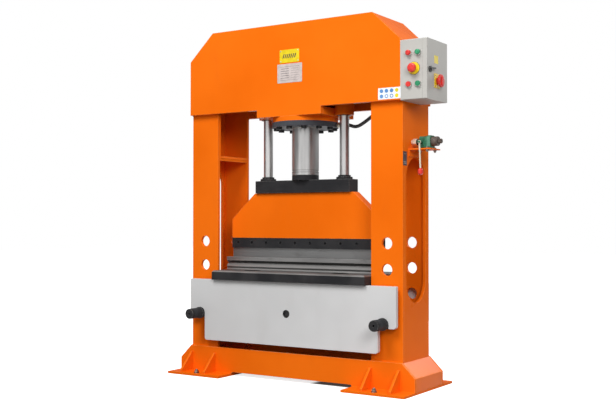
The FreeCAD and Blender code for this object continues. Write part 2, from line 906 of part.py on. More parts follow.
# ---- Control box
def control_box():
    """Sheet box with an open side, a lip round it, device holes and hinge pins."""
    outer = block(column_outer, box_face, box_front, box_back, box_bottom, box_top)
    upright = [edge for edge in outer.Edges if edge.BoundBox.XLength > box_width / 2]
    outer = outer.makeFillet(box_sheet * 2, upright)
    sheet = box_sheet
    front, back, bottom, top = box_front + sheet, box_back - sheet, box_bottom + sheet, box_top - sheet
    inside = block(column_outer + sheet, box_face - sheet, front, back, bottom, top)
    front, back, bottom, top = box_front + box_lip, box_back - box_lip, box_bottom + box_lip, box_top - box_lip
    mouth = block(box_face - sheet, box_face, front, back, bottom, top)
    shell = outer.cut(inside).cut(mouth)
    holes = [bar(device_radius + fit_gap / 2, (x, box_front, z), (0, 1, 0), sheet) for x, z in device_places()]
    shell = shell.cut(holes)
    for height in hinge_heights:
        z = box_bottom + height
        knuckle = bar(hinge_radius, (box_face, hinge_y(), z), (0, 0, 1), hinge_knuckle)
        leaf = block(box_face - hinge_knuckle, box_face, box_back, box_back + box_sheet, z, z + hinge_knuckle)
        pin = bar(hinge_pin_radius, (box_face, hinge_y(), z), (0, 0, 1), 2 * hinge_knuckle + door_gap)
        shell = shell.fuse([knuckle, leaf, pin])
    return shell.removeSplitter()


def hinge_y():
    return box_back + hinge_radius + fit_gap


def device_places():
    return [
        (left_device_x, lamp_height),
        (right_device_x, lamp_height),
        (left_device_x, button_height),
        (right_device_x, button_height),
        (estop_x, estop_height),
    ]


def box_door():
    """Shallow pan with hinge knuckles and two shaft holes."""
    pan = block(door_back, door_face, box_front, box_back, box_bottom, box_top)
    pan = pan.makeFillet(door_sheet * 2, [edge for edge in pan.Edges if edge.BoundBox.XLength > door_depth / 2])
    sheet = door_sheet
    hollow = block(
        door_back, door_face - sheet, box_front + sheet, box_back - sheet, box_bottom + sheet, box_top - sheet
    )
    pan = pan.cut(hollow)
    for height in hinge_heights:
        z = box_bottom + height + hinge_knuckle + door_gap
        knuckle = bar(hinge_radius, (box_face, hinge_y(), z), (0, 0, 1), hinge_knuckle)
        leaf = block(box_face, box_face + hinge_leaf, box_back, box_back + box_sheet, z, z + hinge_knuckle)
        bore = bar(hinge_pin_radius + run_gap, (box_face, hinge_y(), z), (0, 0, 1), hinge_knuckle)
        pan = pan.fuse([knuckle, leaf]).cut(bore)
    pan = pan.cut(bar(latch_shaft_radius + run_gap, (door_back, latch_y, latch_height), (1, 0, 0), door_depth))
    pan = pan.cut(bar(stem_radius + run_gap, (door_back, switch_y, switch_height), (1, 0, 0), door_depth))
    return pan.removeSplitter()


def latch_handle():
    """Swing handle with its hub, shaft and the cam behind the lip."""
    hub = bar(latch_hub_radius, (door_face, latch_y, latch_height), (1, 0, 0), latch_hub_height)
    arm_x = door_face + latch_hub_height
    half = latch_arm_width / 2
    tip = latch_tip_width / 2
    tip_y = latch_y + latch_arm
    tip_z = latch_height + latch_tip_rise
    outline = [
        (latch_y - half, latch_height - half, tip),
        (latch_y - half, latch_height + half, tip),
        (tip_y, tip_z + tip, tip / 2),
        (tip_y, tip_z - tip, tip / 2),
    ]
    arm = plate_yz(outline, arm_x, arm_x + latch_arm_thick)
    cam_x = box_face - box_sheet - latch_cam_gap - latch_cam_thick
    shaft = bar(latch_shaft_radius, (cam_x, latch_y, latch_height), (1, 0, 0), arm_x - cam_x)
    cam = block(
        cam_x,
        cam_x + latch_cam_thick,
        latch_y - latch_shaft_radius,
        latch_y + latch_shaft_radius,
        latch_height - latch_shaft_radius,
        latch_height + latch_cam,
    )
    return hub.fuse([arm, shaft, cam]).removeSplitter()


def switch_plate():
    half_y = switch_plate_width / 2
    half_z = switch_plate_height / 2
    plate = plate_yz(
        [
            (switch_y + half_y, switch_height + half_z, edge_break),
            (switch_y + half_y, switch_height - half_z, edge_break),
            (switch_y - half_y, switch_height - half_z, edge_break),
            (switch_y - half_y, switch_height + half_z, edge_break),
        ],
        door_face,
        door_face + switch_plate_thick,
    )
    return plate.cut(bar(stem_radius + run_gap, (door_face, switch_y, switch_height), (1, 0, 0), switch_plate_thick))


def main_switch_knob():
    """Rotary knob: a broad disc on a boss, with a low grip across it and its shaft through the door."""
    base = door_face + switch_plate_thick + fit_gap
    boss = bar(switch_boss_radius, (base, switch_y, switch_height), (1, 0, 0), switch_boss_height)
    disc_start = base + switch_boss_height
    disc_end = disc_start + switch_disc_height
    disc = bar(switch_disc_radius, (disc_start, switch_y, switch_height), (1, 0, 0), switch_disc_height)
    rim = [edge for edge in disc.Edges if edge.BoundBox.XMin > disc_end - edge_break]
    disc = disc.makeFillet(switch_disc_edge, rim)
    half = switch_grip_width / 2
    long_half = switch_grip / 2
    outline = [
        (switch_y + half, switch_height + long_half, half - fit_gap),
        (switch_y + half, switch_height - long_half, half - fit_gap),
        (switch_y - half, switch_height - long_half, half - fit_gap),
        (switch_y - half, switch_height + long_half, half - fit_gap),
    ]
    grip = plate_yz(outline, disc_end, disc_end + switch_grip_height)
    start = door_back - fit_gap
    shaft = bar(stem_radius, (start, switch_y, switch_height), (1, 0, 0), base - start)
    return boss.fuse([disc, grip, shaft])


def lamp(x):
    """Domed lens with the lamp's body behind the panel."""
    face = box_front - bezel_height
    dome = bar(cap_radius, (x, face - lamp_dome, lamp_height), (0, 1, 0), lamp_dome + bezel_height / 2)
    dome = dome.makeFillet(lamp_dome / 2, [edge for edge in dome.Edges if edge.BoundBox.YMax < face - lamp_dome / 2])
    body = bar(stem_radius, (x, face, lamp_height), (0, 1, 0), device_depth)
    return dome.fuse(body)


def bezel(x, z):
    """Ring round a lamp or button, with its threaded barrel through the panel."""
    front = box_front - bezel_height
    ring = bar(bezel_radius, (x, front, z), (0, 1, 0), bezel_height)
    ring = ring.makeChamfer(edge_break / 2, [edge for edge in ring.Edges if edge.BoundBox.YMax < front + edge_break])
    barrel = bar(device_radius, (x, box_front, z), (0, 1, 0), device_depth - bezel_height)
    pocket = bar(cap_radius + fit_gap, (x, front, z), (0, 1, 0), bezel_height - edge_break / 2)
    bore = bar(stem_radius + run_gap, (x, front, z), (0, 1, 0), device_depth)
    return ring.fuse(barrel).cut([pocket, bore])


def button_bezels():
    return group([bezel(x, z) for x, z in device_places()[:4]])


def push_button(x):
    """Button cap on its stem."""
    front = box_front - bezel_height - cap_proud
    cap = bar(cap_radius, (x, front, button_height), (0, 1, 0), cap_height)
    cap = cap.makeFillet(edge_break / 2, [edge for edge in cap.Edges if edge.BoundBox.YMax < front + edge_break])
    stem = bar(stem_radius, (x, front, button_height), (0, 1, 0), device_depth)
    return cap.fuse(stem)


def estop_ring():
    """Yellow disc behind the emergency button, with the switch's threaded barrel."""
    start = (estop_x, box_front - estop_ring_height, estop_height)
    disc = bar(estop_ring_radius, start, (0, 1, 0), estop_ring_height)
    barrel = bar(device_radius, start, (0, 1, 0), estop_ring_height + device_depth)
    return disc.fuse(barrel).cut(bar(stem_radius + run_gap, start, (0, 1, 0), estop_ring_height + device_depth))


def estop_head():
    """Mushroom head on its stem: a crowned face, a short rim and a tapered neck."""
    radius = estop_head_radius
    crown = radius / 3
    neck_end = estop_proud - estop_travel - edge_break
    profile = [
        (0, 0),
        (2 * radius / 3, crown / 6),
        (radius - edge_break, crown / 2),
        (radius, crown),
        (radius, 2 * crown - edge_break),
        (radius - edge_break, 2 * crown),
        (estop_neck_radius + edge_break, 2 * crown + 2 * edge_break),
        (estop_neck_radius, neck_end),
        (stem_radius, neck_end),
        (stem_radius, estop_proud + device_depth / 2),
        (0, estop_proud + device_depth / 2),
    ]
    front = box_front - estop_ring_height - estop_proud
    return turned(profile, (estop_x, front, estop_height), (0, 1, 0))


# ---- Valve and hose
def valve_bracket():
    """Angle plate on the column's side."""
    sheet = bracket_sheet
    outline = [
        (column_outer, bracket_top, 0),
        (column_outer + bracket_reach, bracket_top, 0),
        (column_outer + bracket_reach, bracket_top - sheet, 0),
        (column_outer + sheet, bracket_top - sheet, sheet / 2),
        (column_outer + sheet, bracket_top - bracket_leg, 0),
        (column_outer, bracket_top - bracket_leg, 0),
    ]
    return plate_xz(outline, valve_y - bracket_front, valve_y + bracket_back)


def valve_body():
    """Cast body with a round-cornered section and an end flange, bored for the lever's pin."""
    half = valve_width / 2
    top = bracket_top + valve_tall
    outline = [
        (valve_y + half, top, valve_corner),
        (valve_y + half, bracket_top, 0),
        (valve_y - half, bracket_top, 0),
        (valve_y - half, top, valve_corner),
    ]
    body = plate_yz(outline, valve_start, valve_start + valve_length)
    rim = valve_end_rim
    end_outline = [
        (valve_y + half + rim, top + rim, valve_corner + rim),
        (valve_y + half + rim, bracket_top, 0),
        (valve_y - half - rim, bracket_top, 0),
        (valve_y - half - rim, top + rim, valve_corner + rim),
    ]
    end_start = valve_start + valve_length
    end_plate = plate_yz(end_outline, end_start, end_start + valve_end_length)
    start = (lever_x, valve_y - half, lever_height)
    boss = bar(lever_hub_radius, start, (0, -1, 0), lever_stand - lever_thick)
    pivot = bar(lever_pin_radius, start, (0, -1, 0), lever_stand + 2 * lever_thick)
    return body.fuse([end_plate, boss, pivot]).removeSplitter()


def valve_cap():
    """Round cap on the valve's end with a lock nut."""
    start = valve_start + valve_length + valve_end_length
    cap = bar(valve_cap_radius, (start, valve_y, valve_height), (1, 0, 0), valve_cap_length)
    cap = cap.makeChamfer(edge_break, [edge for edge in cap.Edges if edge.BoundBox.XMin > start + edge_break])
    nut_start = (start + valve_cap_length, valve_y, valve_height)
    return cap.fuse(hexagon(2 * valve_nut_radius, nut_start, (1, 0, 0), valve_nut_length))


def valve_lever():
    """Flat lever hanging from the valve's pin, leaning a little to the right."""
    hub = bar(lever_hub_radius, (lever_x, lever_y + lever_thick / 2, lever_height), (0, -1, 0), lever_thick)
    half = lever_width / 2
    foot = lever_height - lever_drop + lever_knob_radius
    outline = [
        (lever_x + half, lever_height, 0),
        (lever_x + lever_lean + half, foot, 0),
        (lever_x + lever_lean - half, foot, 0),
        (lever_x - half, lever_height, 0),
    ]
    strip = plate_xz(outline, lever_y - lever_thick / 2, lever_y + lever_thick / 2)
    start = (lever_x, lever_y + lever_thick, lever_height)
    return hub.fuse(strip).cut(bar(lever_pin_radius + run_gap, start, (0, -1, 0), 2 * lever_thick)).removeSplitter()


def valve_knob():
    """Long round-ended knob with a ferrule where the lever enters."""
    x = lever_x + lever_lean
    upper = Vector(x, lever_y, lever_height - lever_drop)
    straight = lever_knob_length - 2 * lever_knob_radius
    lower = upper - Vector(0, 0, straight)
    top = upper.z + lever_knob_radius
    grip = bar(lever_knob_radius, lower, (0, 0, 1), straight)
    grip = grip.fuse([Part.makeSphere(lever_knob_radius, upper), Part.makeSphere(lever_knob_radius, lower)])
    left, front = x - lever_knob_radius, lever_y - lever_knob_radius
    flat = block(left, left + 2 * lever_knob_radius, front, front + 2 * lever_knob_radius, top - edge_break, top)
    ferrule = bar(lever_ferrule_radius, upper, (0, 0, 1), lever_knob_radius)
    return grip.cut(flat).fuse(ferrule)


def hose_fittings():
    """Port fitting on the flange, and the pipe and elbow at the valve."""
    edge = flange_edge_x()
    port = bar(hose_radius, (edge - port_depth, port_y, port_centre()), (1, 0, 0), port_depth)
    port_nut = bar(port_nut_radius, (port_nut_start(), port_y, port_centre()), (1, 0, 0), port_nut_length)
    neck = bar(hose_radius, (edge, port_y, port_centre()), (1, 0, 0), port_nut_start() - edge + port_nut_length)
    pipe = bar(pipe_radius, (elbow_x, valve_y, valve_height), (1, 0, 0), valve_start - elbow_x)
    corner = Part.makeSphere(pipe_radius, Vector(elbow_x, valve_y, valve_height))
    riser = bar(pipe_radius, (elbow_x, valve_y, valve_height), (0, 0, 1), elbow_rise)
    nut_start = valve_start - pipe_nut_length
    nut = hexagon(pipe_nut, (nut_start, valve_y, valve_height), (1, 0, 0), pipe_nut_length)
    return group([port.fuse([port_nut, neck]), pipe.fuse([corner, riser, nut])])


def hose_route():
    """Route from the cylinder's port, behind the right guide rod, into the right column and down to the valve."""
    start = Vector(port_nut_start() + port_nut_length, port_y, port_centre())
    edge = Vector(column_inner, port_y, port_centre())
    elbow = Vector(elbow_x, valve_y, valve_height)
    points = [start]
    points += [start + Vector(*step) for step in hose_leaving]
    points += [edge + Vector(*step) for step in hose_crossing]
    points += [elbow + Vector(*step) for step in hose_falling]
    return points + [elbow + Vector(0, 0, elbow_rise)]


def pressure_hose():
    """Round hose along straight runs joined by tangent arcs."""
    points = hose_route()
    edges = []
    radii = []
    here = points[0]
    for before, corner, after in zip(points, points[1:], points[2:]):
        arriving = corner - before
        leaving = after - corner
        turn = arriving.getAngle(leaving)
        reach = 0.45 * min(arriving.Length, leaving.Length)
        radius = reach / math.tan(turn / 2)
        radii.append(round(radius, 1))
        back = (before - corner).normalize()
        ahead = (after - corner).normalize()
        start = corner + back * reach
        end = corner + ahead * reach
        crest = corner + (back + ahead).normalize() * (radius / math.cos(turn / 2) - radius)
        edges.append(Part.LineSegment(here, start).toShape())
        edges.append(Part.Arc(start, crest, end).toShape())
        here = end
    edges.append(Part.LineSegment(here, points[-1]).toShape())
    path = Part.Wire(edges)
    ring = Part.Wire(Part.Circle(points[0], points[1] - points[0], hose_radius).toShape())
    hose = path.makePipeShell([ring], True, False)
    section = math.pi * hose_radius**2
    print("hose length", round(path.Length, 1), "bend radii", radii)
    print("hose volume over section times length", round(hose.Volume / (section * path.Length), 4))
    return hose


# ---- Power unit inside the crown
def oil_tank():
    """Flat-backed tank bolted to the crown's back plate."""
    front = column_face - tank_depth
    tank = block(-tank_outer, -tank_inner, front, column_face, tank_bottom, tank_bottom + tank_height)
    upright = [edge for edge in tank.Edges if edge.BoundBox.ZLength > tank_height / 2]
    return tank.makeFillet(tank_corner, [edge for edge in upright if edge.BoundBox.YMax < 0])


def pump_motor():
    """Upright motor with its pump below and a foot on the crown's back plate."""
    radius = (motor_right - motor_left) / 2
    x = motor_left + radius
    motor = bar(radius, (x, motor_y, motor_bottom), (0, 0, 1), motor_length)
    motor = motor.makeFillet(tank_corner, [edge for edge in motor.Edges if edge.BoundBox.ZMin > motor_bottom + 1])
    pump = bar(pump_radius, (x, motor_y, motor_bottom - pump_length), (0, 0, 1), pump_length)
    half = motor_foot_width / 2
    foot_top = motor_bottom + motor_length / 2
    foot = block(x - half, x + half, motor_y, column_face, motor_bottom + edge_break, foot_top)
    return motor.fuse([pump, foot])


# ---- Every piece by name
def pieces():
    crown_front = crown_front_plate()
    column_front = column_front_plate()
    base_front = base_front_plate()
    end_cover = base_end_cover()
    foot = foot_plate_right()
    shelf = column_shelf()
    table_front = table_front_plate()
    tube_right = guide_tube()
    low_bush = guide_bush(True)
    high_bush = guide_bush(False)
    rod_right = guide_rod()
    collar_right = guide_collar()
    pin_right = table_pin()
    return {
        "crown_front_plate": crown_front,
        "crown_back_plate": flip_y(crown_front),
        "crown_cover": crown_cover(),
        "crown_seat_block": crown_seat_block(),
        "seat_ring": seat_ring(),
        "left_column_front_plate": flip_x(column_front),
        "left_column_back_plate": flip_x(flip_y(column_front)),
        "left_column_side_plate": flip_x(column_side_plate()),
        "right_column_front_plate": column_front,
        "right_column_back_plate": flip_y(column_front),
        "right_column_side_plate": right_column_side_plate(),
        "column_shelves": group([shelf, flip_x(shelf)]),
        "base_front_plate": base_front,
        "base_back_plate": flip_y(base_front),
        "base_end_covers": group([end_cover, flip_x(end_cover)]),
        "foot_plates": group([foot, flip_x(foot)]),
        "foot_ribs": foot_ribs(),
        "cylinder_barrel": cylinder_barrel(),
        "cylinder_flange": cylinder_flange(),
        "flange_bolts": flange_bolts(),
        "rod_gland": rod_gland(),
        "guide_tubes": group([tube_right, flip_x(tube_right)]),
        "guide_bushes": group([low_bush, high_bush, flip_x(low_bush), flip_x(high_bush)]),
        "piston_rod": piston_rod(),
        "rod_collar": rod_collar(),
        "platen": platen(),
        "guide_rods": group([rod_right, flip_x(rod_right)]),
        "guide_collars": group([collar_right, flip_x(collar_right)]),
        "ram_beam": ram_beam(),
        "punch_holder": punch_holder(),
        "holder_screws": holder_screws(),
        "punch": punch(),
        "multi_v_die": multi_v_die(),
        "bolster": bolster(),
        "table_front_plate": table_front,
        "table_back_plate": flip_y(table_front),
        "table_tie_tubes": table_tie_tubes(),
        "table_pins": group([pin_right, flip_x(pin_right)]),
        "control_box": control_box(),
        "button_bezels": button_bezels(),
        "red_lamp": lamp(left_device_x),
        "green_lamp": lamp(right_device_x),
        "stop_button": push_button(left_device_x),
        "start_button": push_button(right_device_x),
        "estop_ring": estop_ring(),
        "estop_head": estop_head(),
        "box_door": box_door(),
        "latch_handle": latch_handle(),
        "switch_plate": switch_plate(),
        "main_switch_knob": main_switch_knob(),
        "valve_bracket": valve_bracket(),
        "valve_body": valve_body(),
        "valve_cap": valve_cap(),
        "valve_lever": valve_lever(),
        "valve_knob": valve_knob(),
        "hose_fittings": hose_fittings(),
        "pressure_hose": pressure_hose(),
        "oil_tank": oil_tank(),
        "pump_motor": pump_motor(),
    }


os.makedirs("parts", exist_ok=True)
for name, shape in pieces().items():
    if not shape.isValid():
        print("invalid solid:", name)
    shape.exportStep("parts/" + name + ".step")
    print(name, len(shape.Solids), "solids", round(shape.Volume / 1e6, 3), "litres")
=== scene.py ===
import json
import math
import random

import bmesh
import bpy
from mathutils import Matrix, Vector

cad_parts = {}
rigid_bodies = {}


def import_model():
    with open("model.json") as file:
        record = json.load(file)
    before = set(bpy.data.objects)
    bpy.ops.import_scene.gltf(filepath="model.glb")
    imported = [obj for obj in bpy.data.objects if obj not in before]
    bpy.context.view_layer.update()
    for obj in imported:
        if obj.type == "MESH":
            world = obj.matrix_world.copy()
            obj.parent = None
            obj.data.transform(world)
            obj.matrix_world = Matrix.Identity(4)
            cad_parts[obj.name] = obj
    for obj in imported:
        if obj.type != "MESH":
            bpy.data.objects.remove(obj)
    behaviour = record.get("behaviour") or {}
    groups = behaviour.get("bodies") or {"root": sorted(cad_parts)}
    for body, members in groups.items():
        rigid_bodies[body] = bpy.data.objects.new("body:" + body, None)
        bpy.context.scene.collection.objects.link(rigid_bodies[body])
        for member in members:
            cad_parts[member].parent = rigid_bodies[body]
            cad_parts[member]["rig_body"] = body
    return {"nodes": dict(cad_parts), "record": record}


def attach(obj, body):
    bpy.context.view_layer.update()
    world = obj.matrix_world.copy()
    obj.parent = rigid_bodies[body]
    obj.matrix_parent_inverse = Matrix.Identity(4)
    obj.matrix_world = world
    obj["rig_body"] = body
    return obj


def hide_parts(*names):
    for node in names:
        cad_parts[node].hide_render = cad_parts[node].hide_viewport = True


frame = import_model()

nodes = frame["nodes"]
for thing in list(bpy.data.objects):  # a new file's own cube, lamp and camera go
    if thing.type != "EMPTY" and thing.name not in nodes:
        bpy.data.objects.remove(thing)
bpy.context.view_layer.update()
mm = 0.001
up, toFront, toBack, toRight = Vector((0, 0, 1)), Vector((0, -1, 0)), Vector((0, 1, 0)), Vector((1, 0, 0))
print("frame loaded:", len(nodes), "nodes")


# a socket that can be added, multiplied and compared in plain expressions
class Wire:
    def __init__(self, shader, socket):
        self.shader = shader
        self.socket = socket

    def sum(self, operation, *values):
        return self.shader.node("ShaderNodeMath", {"operation": operation}, dict(enumerate(values)))

    def __add__(self, other):
        return self.sum("ADD", self, other)

    def __radd__(self, other):
        return self.sum("ADD", other, self)

    def __sub__(self, other):
        return self.sum("SUBTRACT", self, other)

    def __rsub__(self, other):
        return self.sum("SUBTRACT", other, self)

    def __mul__(self, other):
        return self.sum("MULTIPLY", self, other)

    def __rmul__(self, other):
        return self.sum("MULTIPLY", other, self)

    def __lt__(self, other):
        return self.sum("LESS_THAN", self, other)

    def __gt__(self, other):
        return self.sum("GREATER_THAN", self, other)

    def between(self, low, high):  # 0 at low, 1 at high, smooth between
        return self.shader.node(
            "ShaderNodeMapRange",
            {"interpolation_type": "SMOOTHSTEP"},
            {"Value": self, "From Min": low, "From Max": high},
        )


class Shader:
    def __init__(self, owner):  # a material or a world
        owner.use_nodes = True
        self.tree = owner.node_tree
        self.tree.nodes.clear()

    def node(self, kind, settings=None, sockets=None, out=0):
        node = self.tree.nodes.new(kind)
        node.location = (180 * len(self.tree.nodes), 0)  # side by side in the editor
        for key, value in (settings or {}).items():
            setattr(node, key, value)
        for key, value in (sockets or {}).items():
            if isinstance(value, Wire):
                self.tree.links.new(value.socket, node.inputs[key])
            else:
                node.inputs[key].default_value = value
        return Wire(self, node.outputs[out]) if node.outputs else None


sockets = {
    "colour": "Base Color",
    "rough": "Roughness",
    "metal": "Metallic",
    "clear": "Coat Weight",
    "clearRough": "Coat Roughness",
    "normal": "Normal",
    "specular": "Specular IOR Level",
}


class Finish(Shader):
    def __init__(self, name, **fixed):
        self.material = bpy.data.materials.new(name)
        super().__init__(self.material)
        self.surface = self.node("ShaderNodeBsdfPrincipled")
        self.node("ShaderNodeOutputMaterial", None, {"Surface": self.surface})
        self.feed(**fixed)

    def feed(self, **inputs):
        for key, value in inputs.items():
            socket = self.surface.socket.node.inputs[sockets[key]]
            if isinstance(value, Wire):
                self.tree.links.new(value.socket, socket)
            else:
                socket.default_value = value

    def place(self):  # point on the piece, in the frame's own metres at rest
        return self.node("ShaderNodeTexCoord", None, None, "Object")

    def upward(self):  # 1 where the piece's own normal points up, -1 where it points down
        normal = self.node("ShaderNodeTexCoord", None, None, "Normal")
        return self.node("ShaderNodeSeparateXYZ", None, {0: normal}, "Z")

    def noise(self, scale, detail, stretch=(1, 1, 1)):
        spot = self.node("ShaderNodeVectorMath", {"operation": "MULTIPLY"}, {0: self.place(), 1: stretch})
        return self.node("ShaderNodeTexNoise", None, {"Vector": spot, "Scale": scale, "Detail": detail})

    def grain(self, low, high, **pattern):  # noise, spread from 0 at low to 1 at high
        return self.noise(**pattern).between(low, high)

    def mix(self, share, first, second):
        settings = {"data_type": "RGBA", "clamp_factor": True}
        return self.node("ShaderNodeMix", settings, {0: share, 6: first, 7: second}, 2)

    def rim(self):  # 1 on the rounded edges of a softened piece
        return self.node("ShaderNodeAttribute", {"attribute_name": "rim"}, None, "Fac")

    def relief(self, height, depth, strength):
        inputs = {"Height": height, "Distance": depth * mm, "Strength": strength}
        return self.node("ShaderNodeBump", None, inputs)


def srgb(red, green, blue):  # 0 to 255 as seen, to the linear colour a shader wants
    seen = [part / 255 for part in (red, green, blue)]
    return (*[((part + 0.055) / 1.055) ** 2.4 if part > 0.04045 else part / 12.92 for part in seen], 1.0)


# paint: a slow drift of shade, orange peel, a little dust, and lighter edges: a painted highlight along the rounded
# edges, partly scuffed wear
paints = {
    "frame_paint": {
        "low": srgb(234, 105, 12), "high": srgb(243, 113, 18),
        "dust": srgb(226, 104, 22), "edge": srgb(255, 150, 80),
        "rough": 0.27, "shine": 0.02, "peel": 260.0, "peelDeep": 0.25,
    },
    "table_paint": {
        "low": srgb(198, 198, 198), "high": srgb(208, 208, 208),
        "dust": srgb(190, 189, 187), "edge": srgb(226, 226, 226),
        "rough": 0.42, "shine": 0.3, "peel": 300.0, "peelDeep": 0.2,
    },
    "box_paint": {
        "low": srgb(174, 172, 166), "high": srgb(184, 182, 177),
        "dust": srgb(168, 164, 156), "edge": srgb(210, 208, 204),
        "rough": 0.5, "shine": 0.25, "peel": 900.0, "peelDeep": 0.12,
    },
    "tank_paint": {
        "low": srgb(132, 136, 140), "high": srgb(146, 150, 154),
        "dust": srgb(120, 120, 118), "edge": srgb(170, 172, 176),
        "rough": 0.45, "shine": 0.3, "peel": 300.0, "peelDeep": 0.2,
    },
}
paints["cover_paint"] = dict(paints["frame_paint"], shine=0.06, rough=0.26)  # folded covers are glossier
paintLayers = {
    "drift": {"scale": 1.7, "detail": 3.0, "low": 0.35, "high": 0.65},
    "dust": {"scale": 9.0, "detail": 6.0, "low": 0.55, "high": 0.85, "stretch": (1, 1, 0.4)},
    "scuffAndHighlight": {"scale": 60.0, "detail": 4.0, "low": 0.4, "high": 0.62},
    "dustShare": 0.35, "edgeHighlightShare": 0.25, "scuffAndHighlightShare": 0.55, "dustRough": 0.14, "driftRough": 0.04,
    "peelDetail": 2.0, "peelStrength": 0.35,
}


def makePaint(name, look):
    paint = Finish(name, specular=look["shine"])
    layers = paintLayers
    drift, dust, scuffAndHighlight = (paint.grain(**layers[layer]) for layer in ("drift", "dust", "scuffAndHighlight"))
    shade = paint.mix(drift, look["low"], look["high"])
    shade = paint.mix(dust * layers["dustShare"], shade, look["dust"])
    # painted highlight: the rounded edges are mixed towards the paler edge colour, more where the scuff noise is
    # high
    shade = paint.mix(paint.rim() * (layers["edgeHighlightShare"] + scuffAndHighlight * layers["scuffAndHighlightShare"]), shade, look["edge"])
    peel = paint.noise(look["peel"], layers["peelDetail"])
    paint.feed(
        colour=shade,
        rough=look["rough"] + dust * layers["dustRough"] + drift * layers["driftRough"],
        normal=paint.relief(peel, look["peelDeep"], layers["peelStrength"]),
    )
    return paint.material


# black steel: thin satin black, worn to metal along the edges
blacks = {
    "black_steel": {
        "low": srgb(33, 33, 35), "high": srgb(51, 50, 51), "worn": srgb(150, 148, 144),
        "rough": 0.56, "shine": 0.13,
    },
    "flange_steel": {
        "low": srgb(54, 55, 60), "high": srgb(78, 79, 84), "worn": srgb(150, 148, 148),
        "rough": 0.5, "shine": 0.15,
    },
}
blackLayers = {
    "drift": {"scale": 7.0, "detail": 5.0, "low": 0.35, "high": 0.7},
    "rolled": {"scale": 90.0, "detail": 5.0, "low": 0.3, "high": 0.8, "stretch": (0.25, 1, 1)},
    "chips": {"scale": 130.0, "detail": 3.0, "low": 0.45, "high": 0.6},
    "wornShare": 0.08, "chipShare": 0.3, "driftShare": 0.6, "rolledShare": 0.3,
    "rolledRough": 0.12, "wornRough": 0.12, "wornMetal": 0.8, "deep": 0.2, "strength": 0.35,
}


def makeBlackSteel(name, look):
    black = Finish(name, specular=look["shine"])
    layers = blackLayers
    drift, rolled, chips = (black.grain(**layers[layer]) for layer in ("drift", "rolled", "chips"))
    worn = black.rim() * (layers["wornShare"] + chips * layers["chipShare"])
    shade = black.mix(drift * layers["driftShare"] + rolled * layers["rolledShare"], look["low"], look["high"])
    black.feed(
        colour=black.mix(worn, shade, look["worn"]),
        rough=look["rough"] + rolled * layers["rolledRough"] - worn * layers["wornRough"],
        metal=worn * layers["wornMetal"],
        normal=black.relief(rolled, layers["deep"], layers["strength"]),
    )
    return black.material


# ground steel: fine lines along the bar, a few darker stains, a painted highlight on the rounded edges, and on the
# die painted shade and a painted highlight on the groove walls
grounds = {
    "bare_steel": {
        "low": srgb(98, 98, 98), "high": srgb(124, 124, 123), "stain": srgb(84, 82, 80),
        "rough": 0.4, "metal": 0.5, "grooved": False,
    },
    "die_steel": {
        "low": srgb(104, 103, 102), "high": srgb(150, 149, 148), "stain": srgb(84, 82, 80),
        "rough": 0.36, "metal": 0.55, "grooved": True,
    },
}
groundLayers = {
    "lines": {"scale": 1.0, "detail": 3.0, "low": 0.25, "high": 0.75, "stretch": (4, 700, 700)},
    "broad": {"scale": 5.0, "detail": 4.0, "low": 0.3, "high": 0.75, "stretch": (0.6, 1, 2.5)},
    "stain": {"scale": 24.0, "detail": 5.0, "low": 0.58, "high": 0.8, "stretch": (0.5, 1, 1)},
    "paintedGrooveShade": srgb(46, 45, 44), "paintedGrooveShadeTilt": (-0.2, -0.5),  # painted shade for a groove's upper wall, which faces down
    "lit": srgb(152, 151, 149), "paintedHighlightTilt": (0.2, 0.5), "level": 0.95, "paintedHighlightShare": 0.7,  # and a painted highlight for its lower wall, which faces up
    "edge": srgb(214, 212, 208), "edgeHighlightShare": 0.5, "linesShare": 0.45, "broadShare": 0.45, "stainShare": 0.4,
    "linesRough": 0.12, "stainRough": 0.15, "deep": 0.12, "strength": 0.5,
}


def makeGroundSteel(name, look):
    ground = Finish(name, metal=look["metal"])
    layers = groundLayers
    lines, broad, stain = (ground.grain(**layers[layer]) for layer in ("lines", "broad", "stain"))
    shade = ground.mix(lines * layers["linesShare"] + broad * layers["broadShare"], look["low"], look["high"])
    shade = ground.mix(stain * layers["stainShare"], shade, look["stain"])
    if look["grooved"]:  # painted shade on the grooves' upper walls and a painted highlight on their lower walls, chosen by which way each faces
        tilt = ground.upward()
        shade = ground.mix(tilt.between(*layers["paintedGrooveShadeTilt"]), shade, layers["paintedGrooveShade"])
        lit = tilt.between(*layers["paintedHighlightTilt"]) * (tilt < layers["level"])
        shade = ground.mix(lit * layers["paintedHighlightShare"], shade, layers["lit"])
    # painted highlight: the rounded edges are mixed towards the lighter edge colour
    shade = ground.mix(ground.rim() * layers["edgeHighlightShare"], shade, layers["edge"])
    ground.feed(
        colour=shade,
        rough=look["rough"] + lines * layers["linesRough"] + stain * layers["stainRough"],
        normal=ground.relief(lines, layers["deep"], layers["strength"]),
    )
    return ground.material


# hard chrome: polished, with faint turning lines and a drawn haze along the rod
chromes = {"hard_chrome": {"low": srgb(178, 177, 176), "high": srgb(208, 207, 206), "rough": 0.27}}
chromeLayers = {
    "haze": {"scale": 1.0, "detail": 4.0, "low": 0.3, "high": 0.75, "stretch": (30, 30, 3)},
    "rings": {"scale": 1.0, "detail": 2.0, "low": 0.3, "high": 0.7, "stretch": (4, 4, 1500)},
    "hazeRough": 0.08, "ringsRough": 0.03, "deep": 0.03, "strength": 0.25,
}


def makeChrome(name, look):
    chrome = Finish(name, metal=1.0)
    layers = chromeLayers
    haze, rings = (chrome.grain(**layers[layer]) for layer in ("haze", "rings"))
    chrome.feed(
        colour=chrome.mix(haze, look["low"], look["high"]),
        rough=look["rough"] + haze * layers["hazeRough"] + rings * layers["ringsRough"],
        normal=chrome.relief(rings, layers["deep"], layers["strength"]),
    )
    return chrome.material


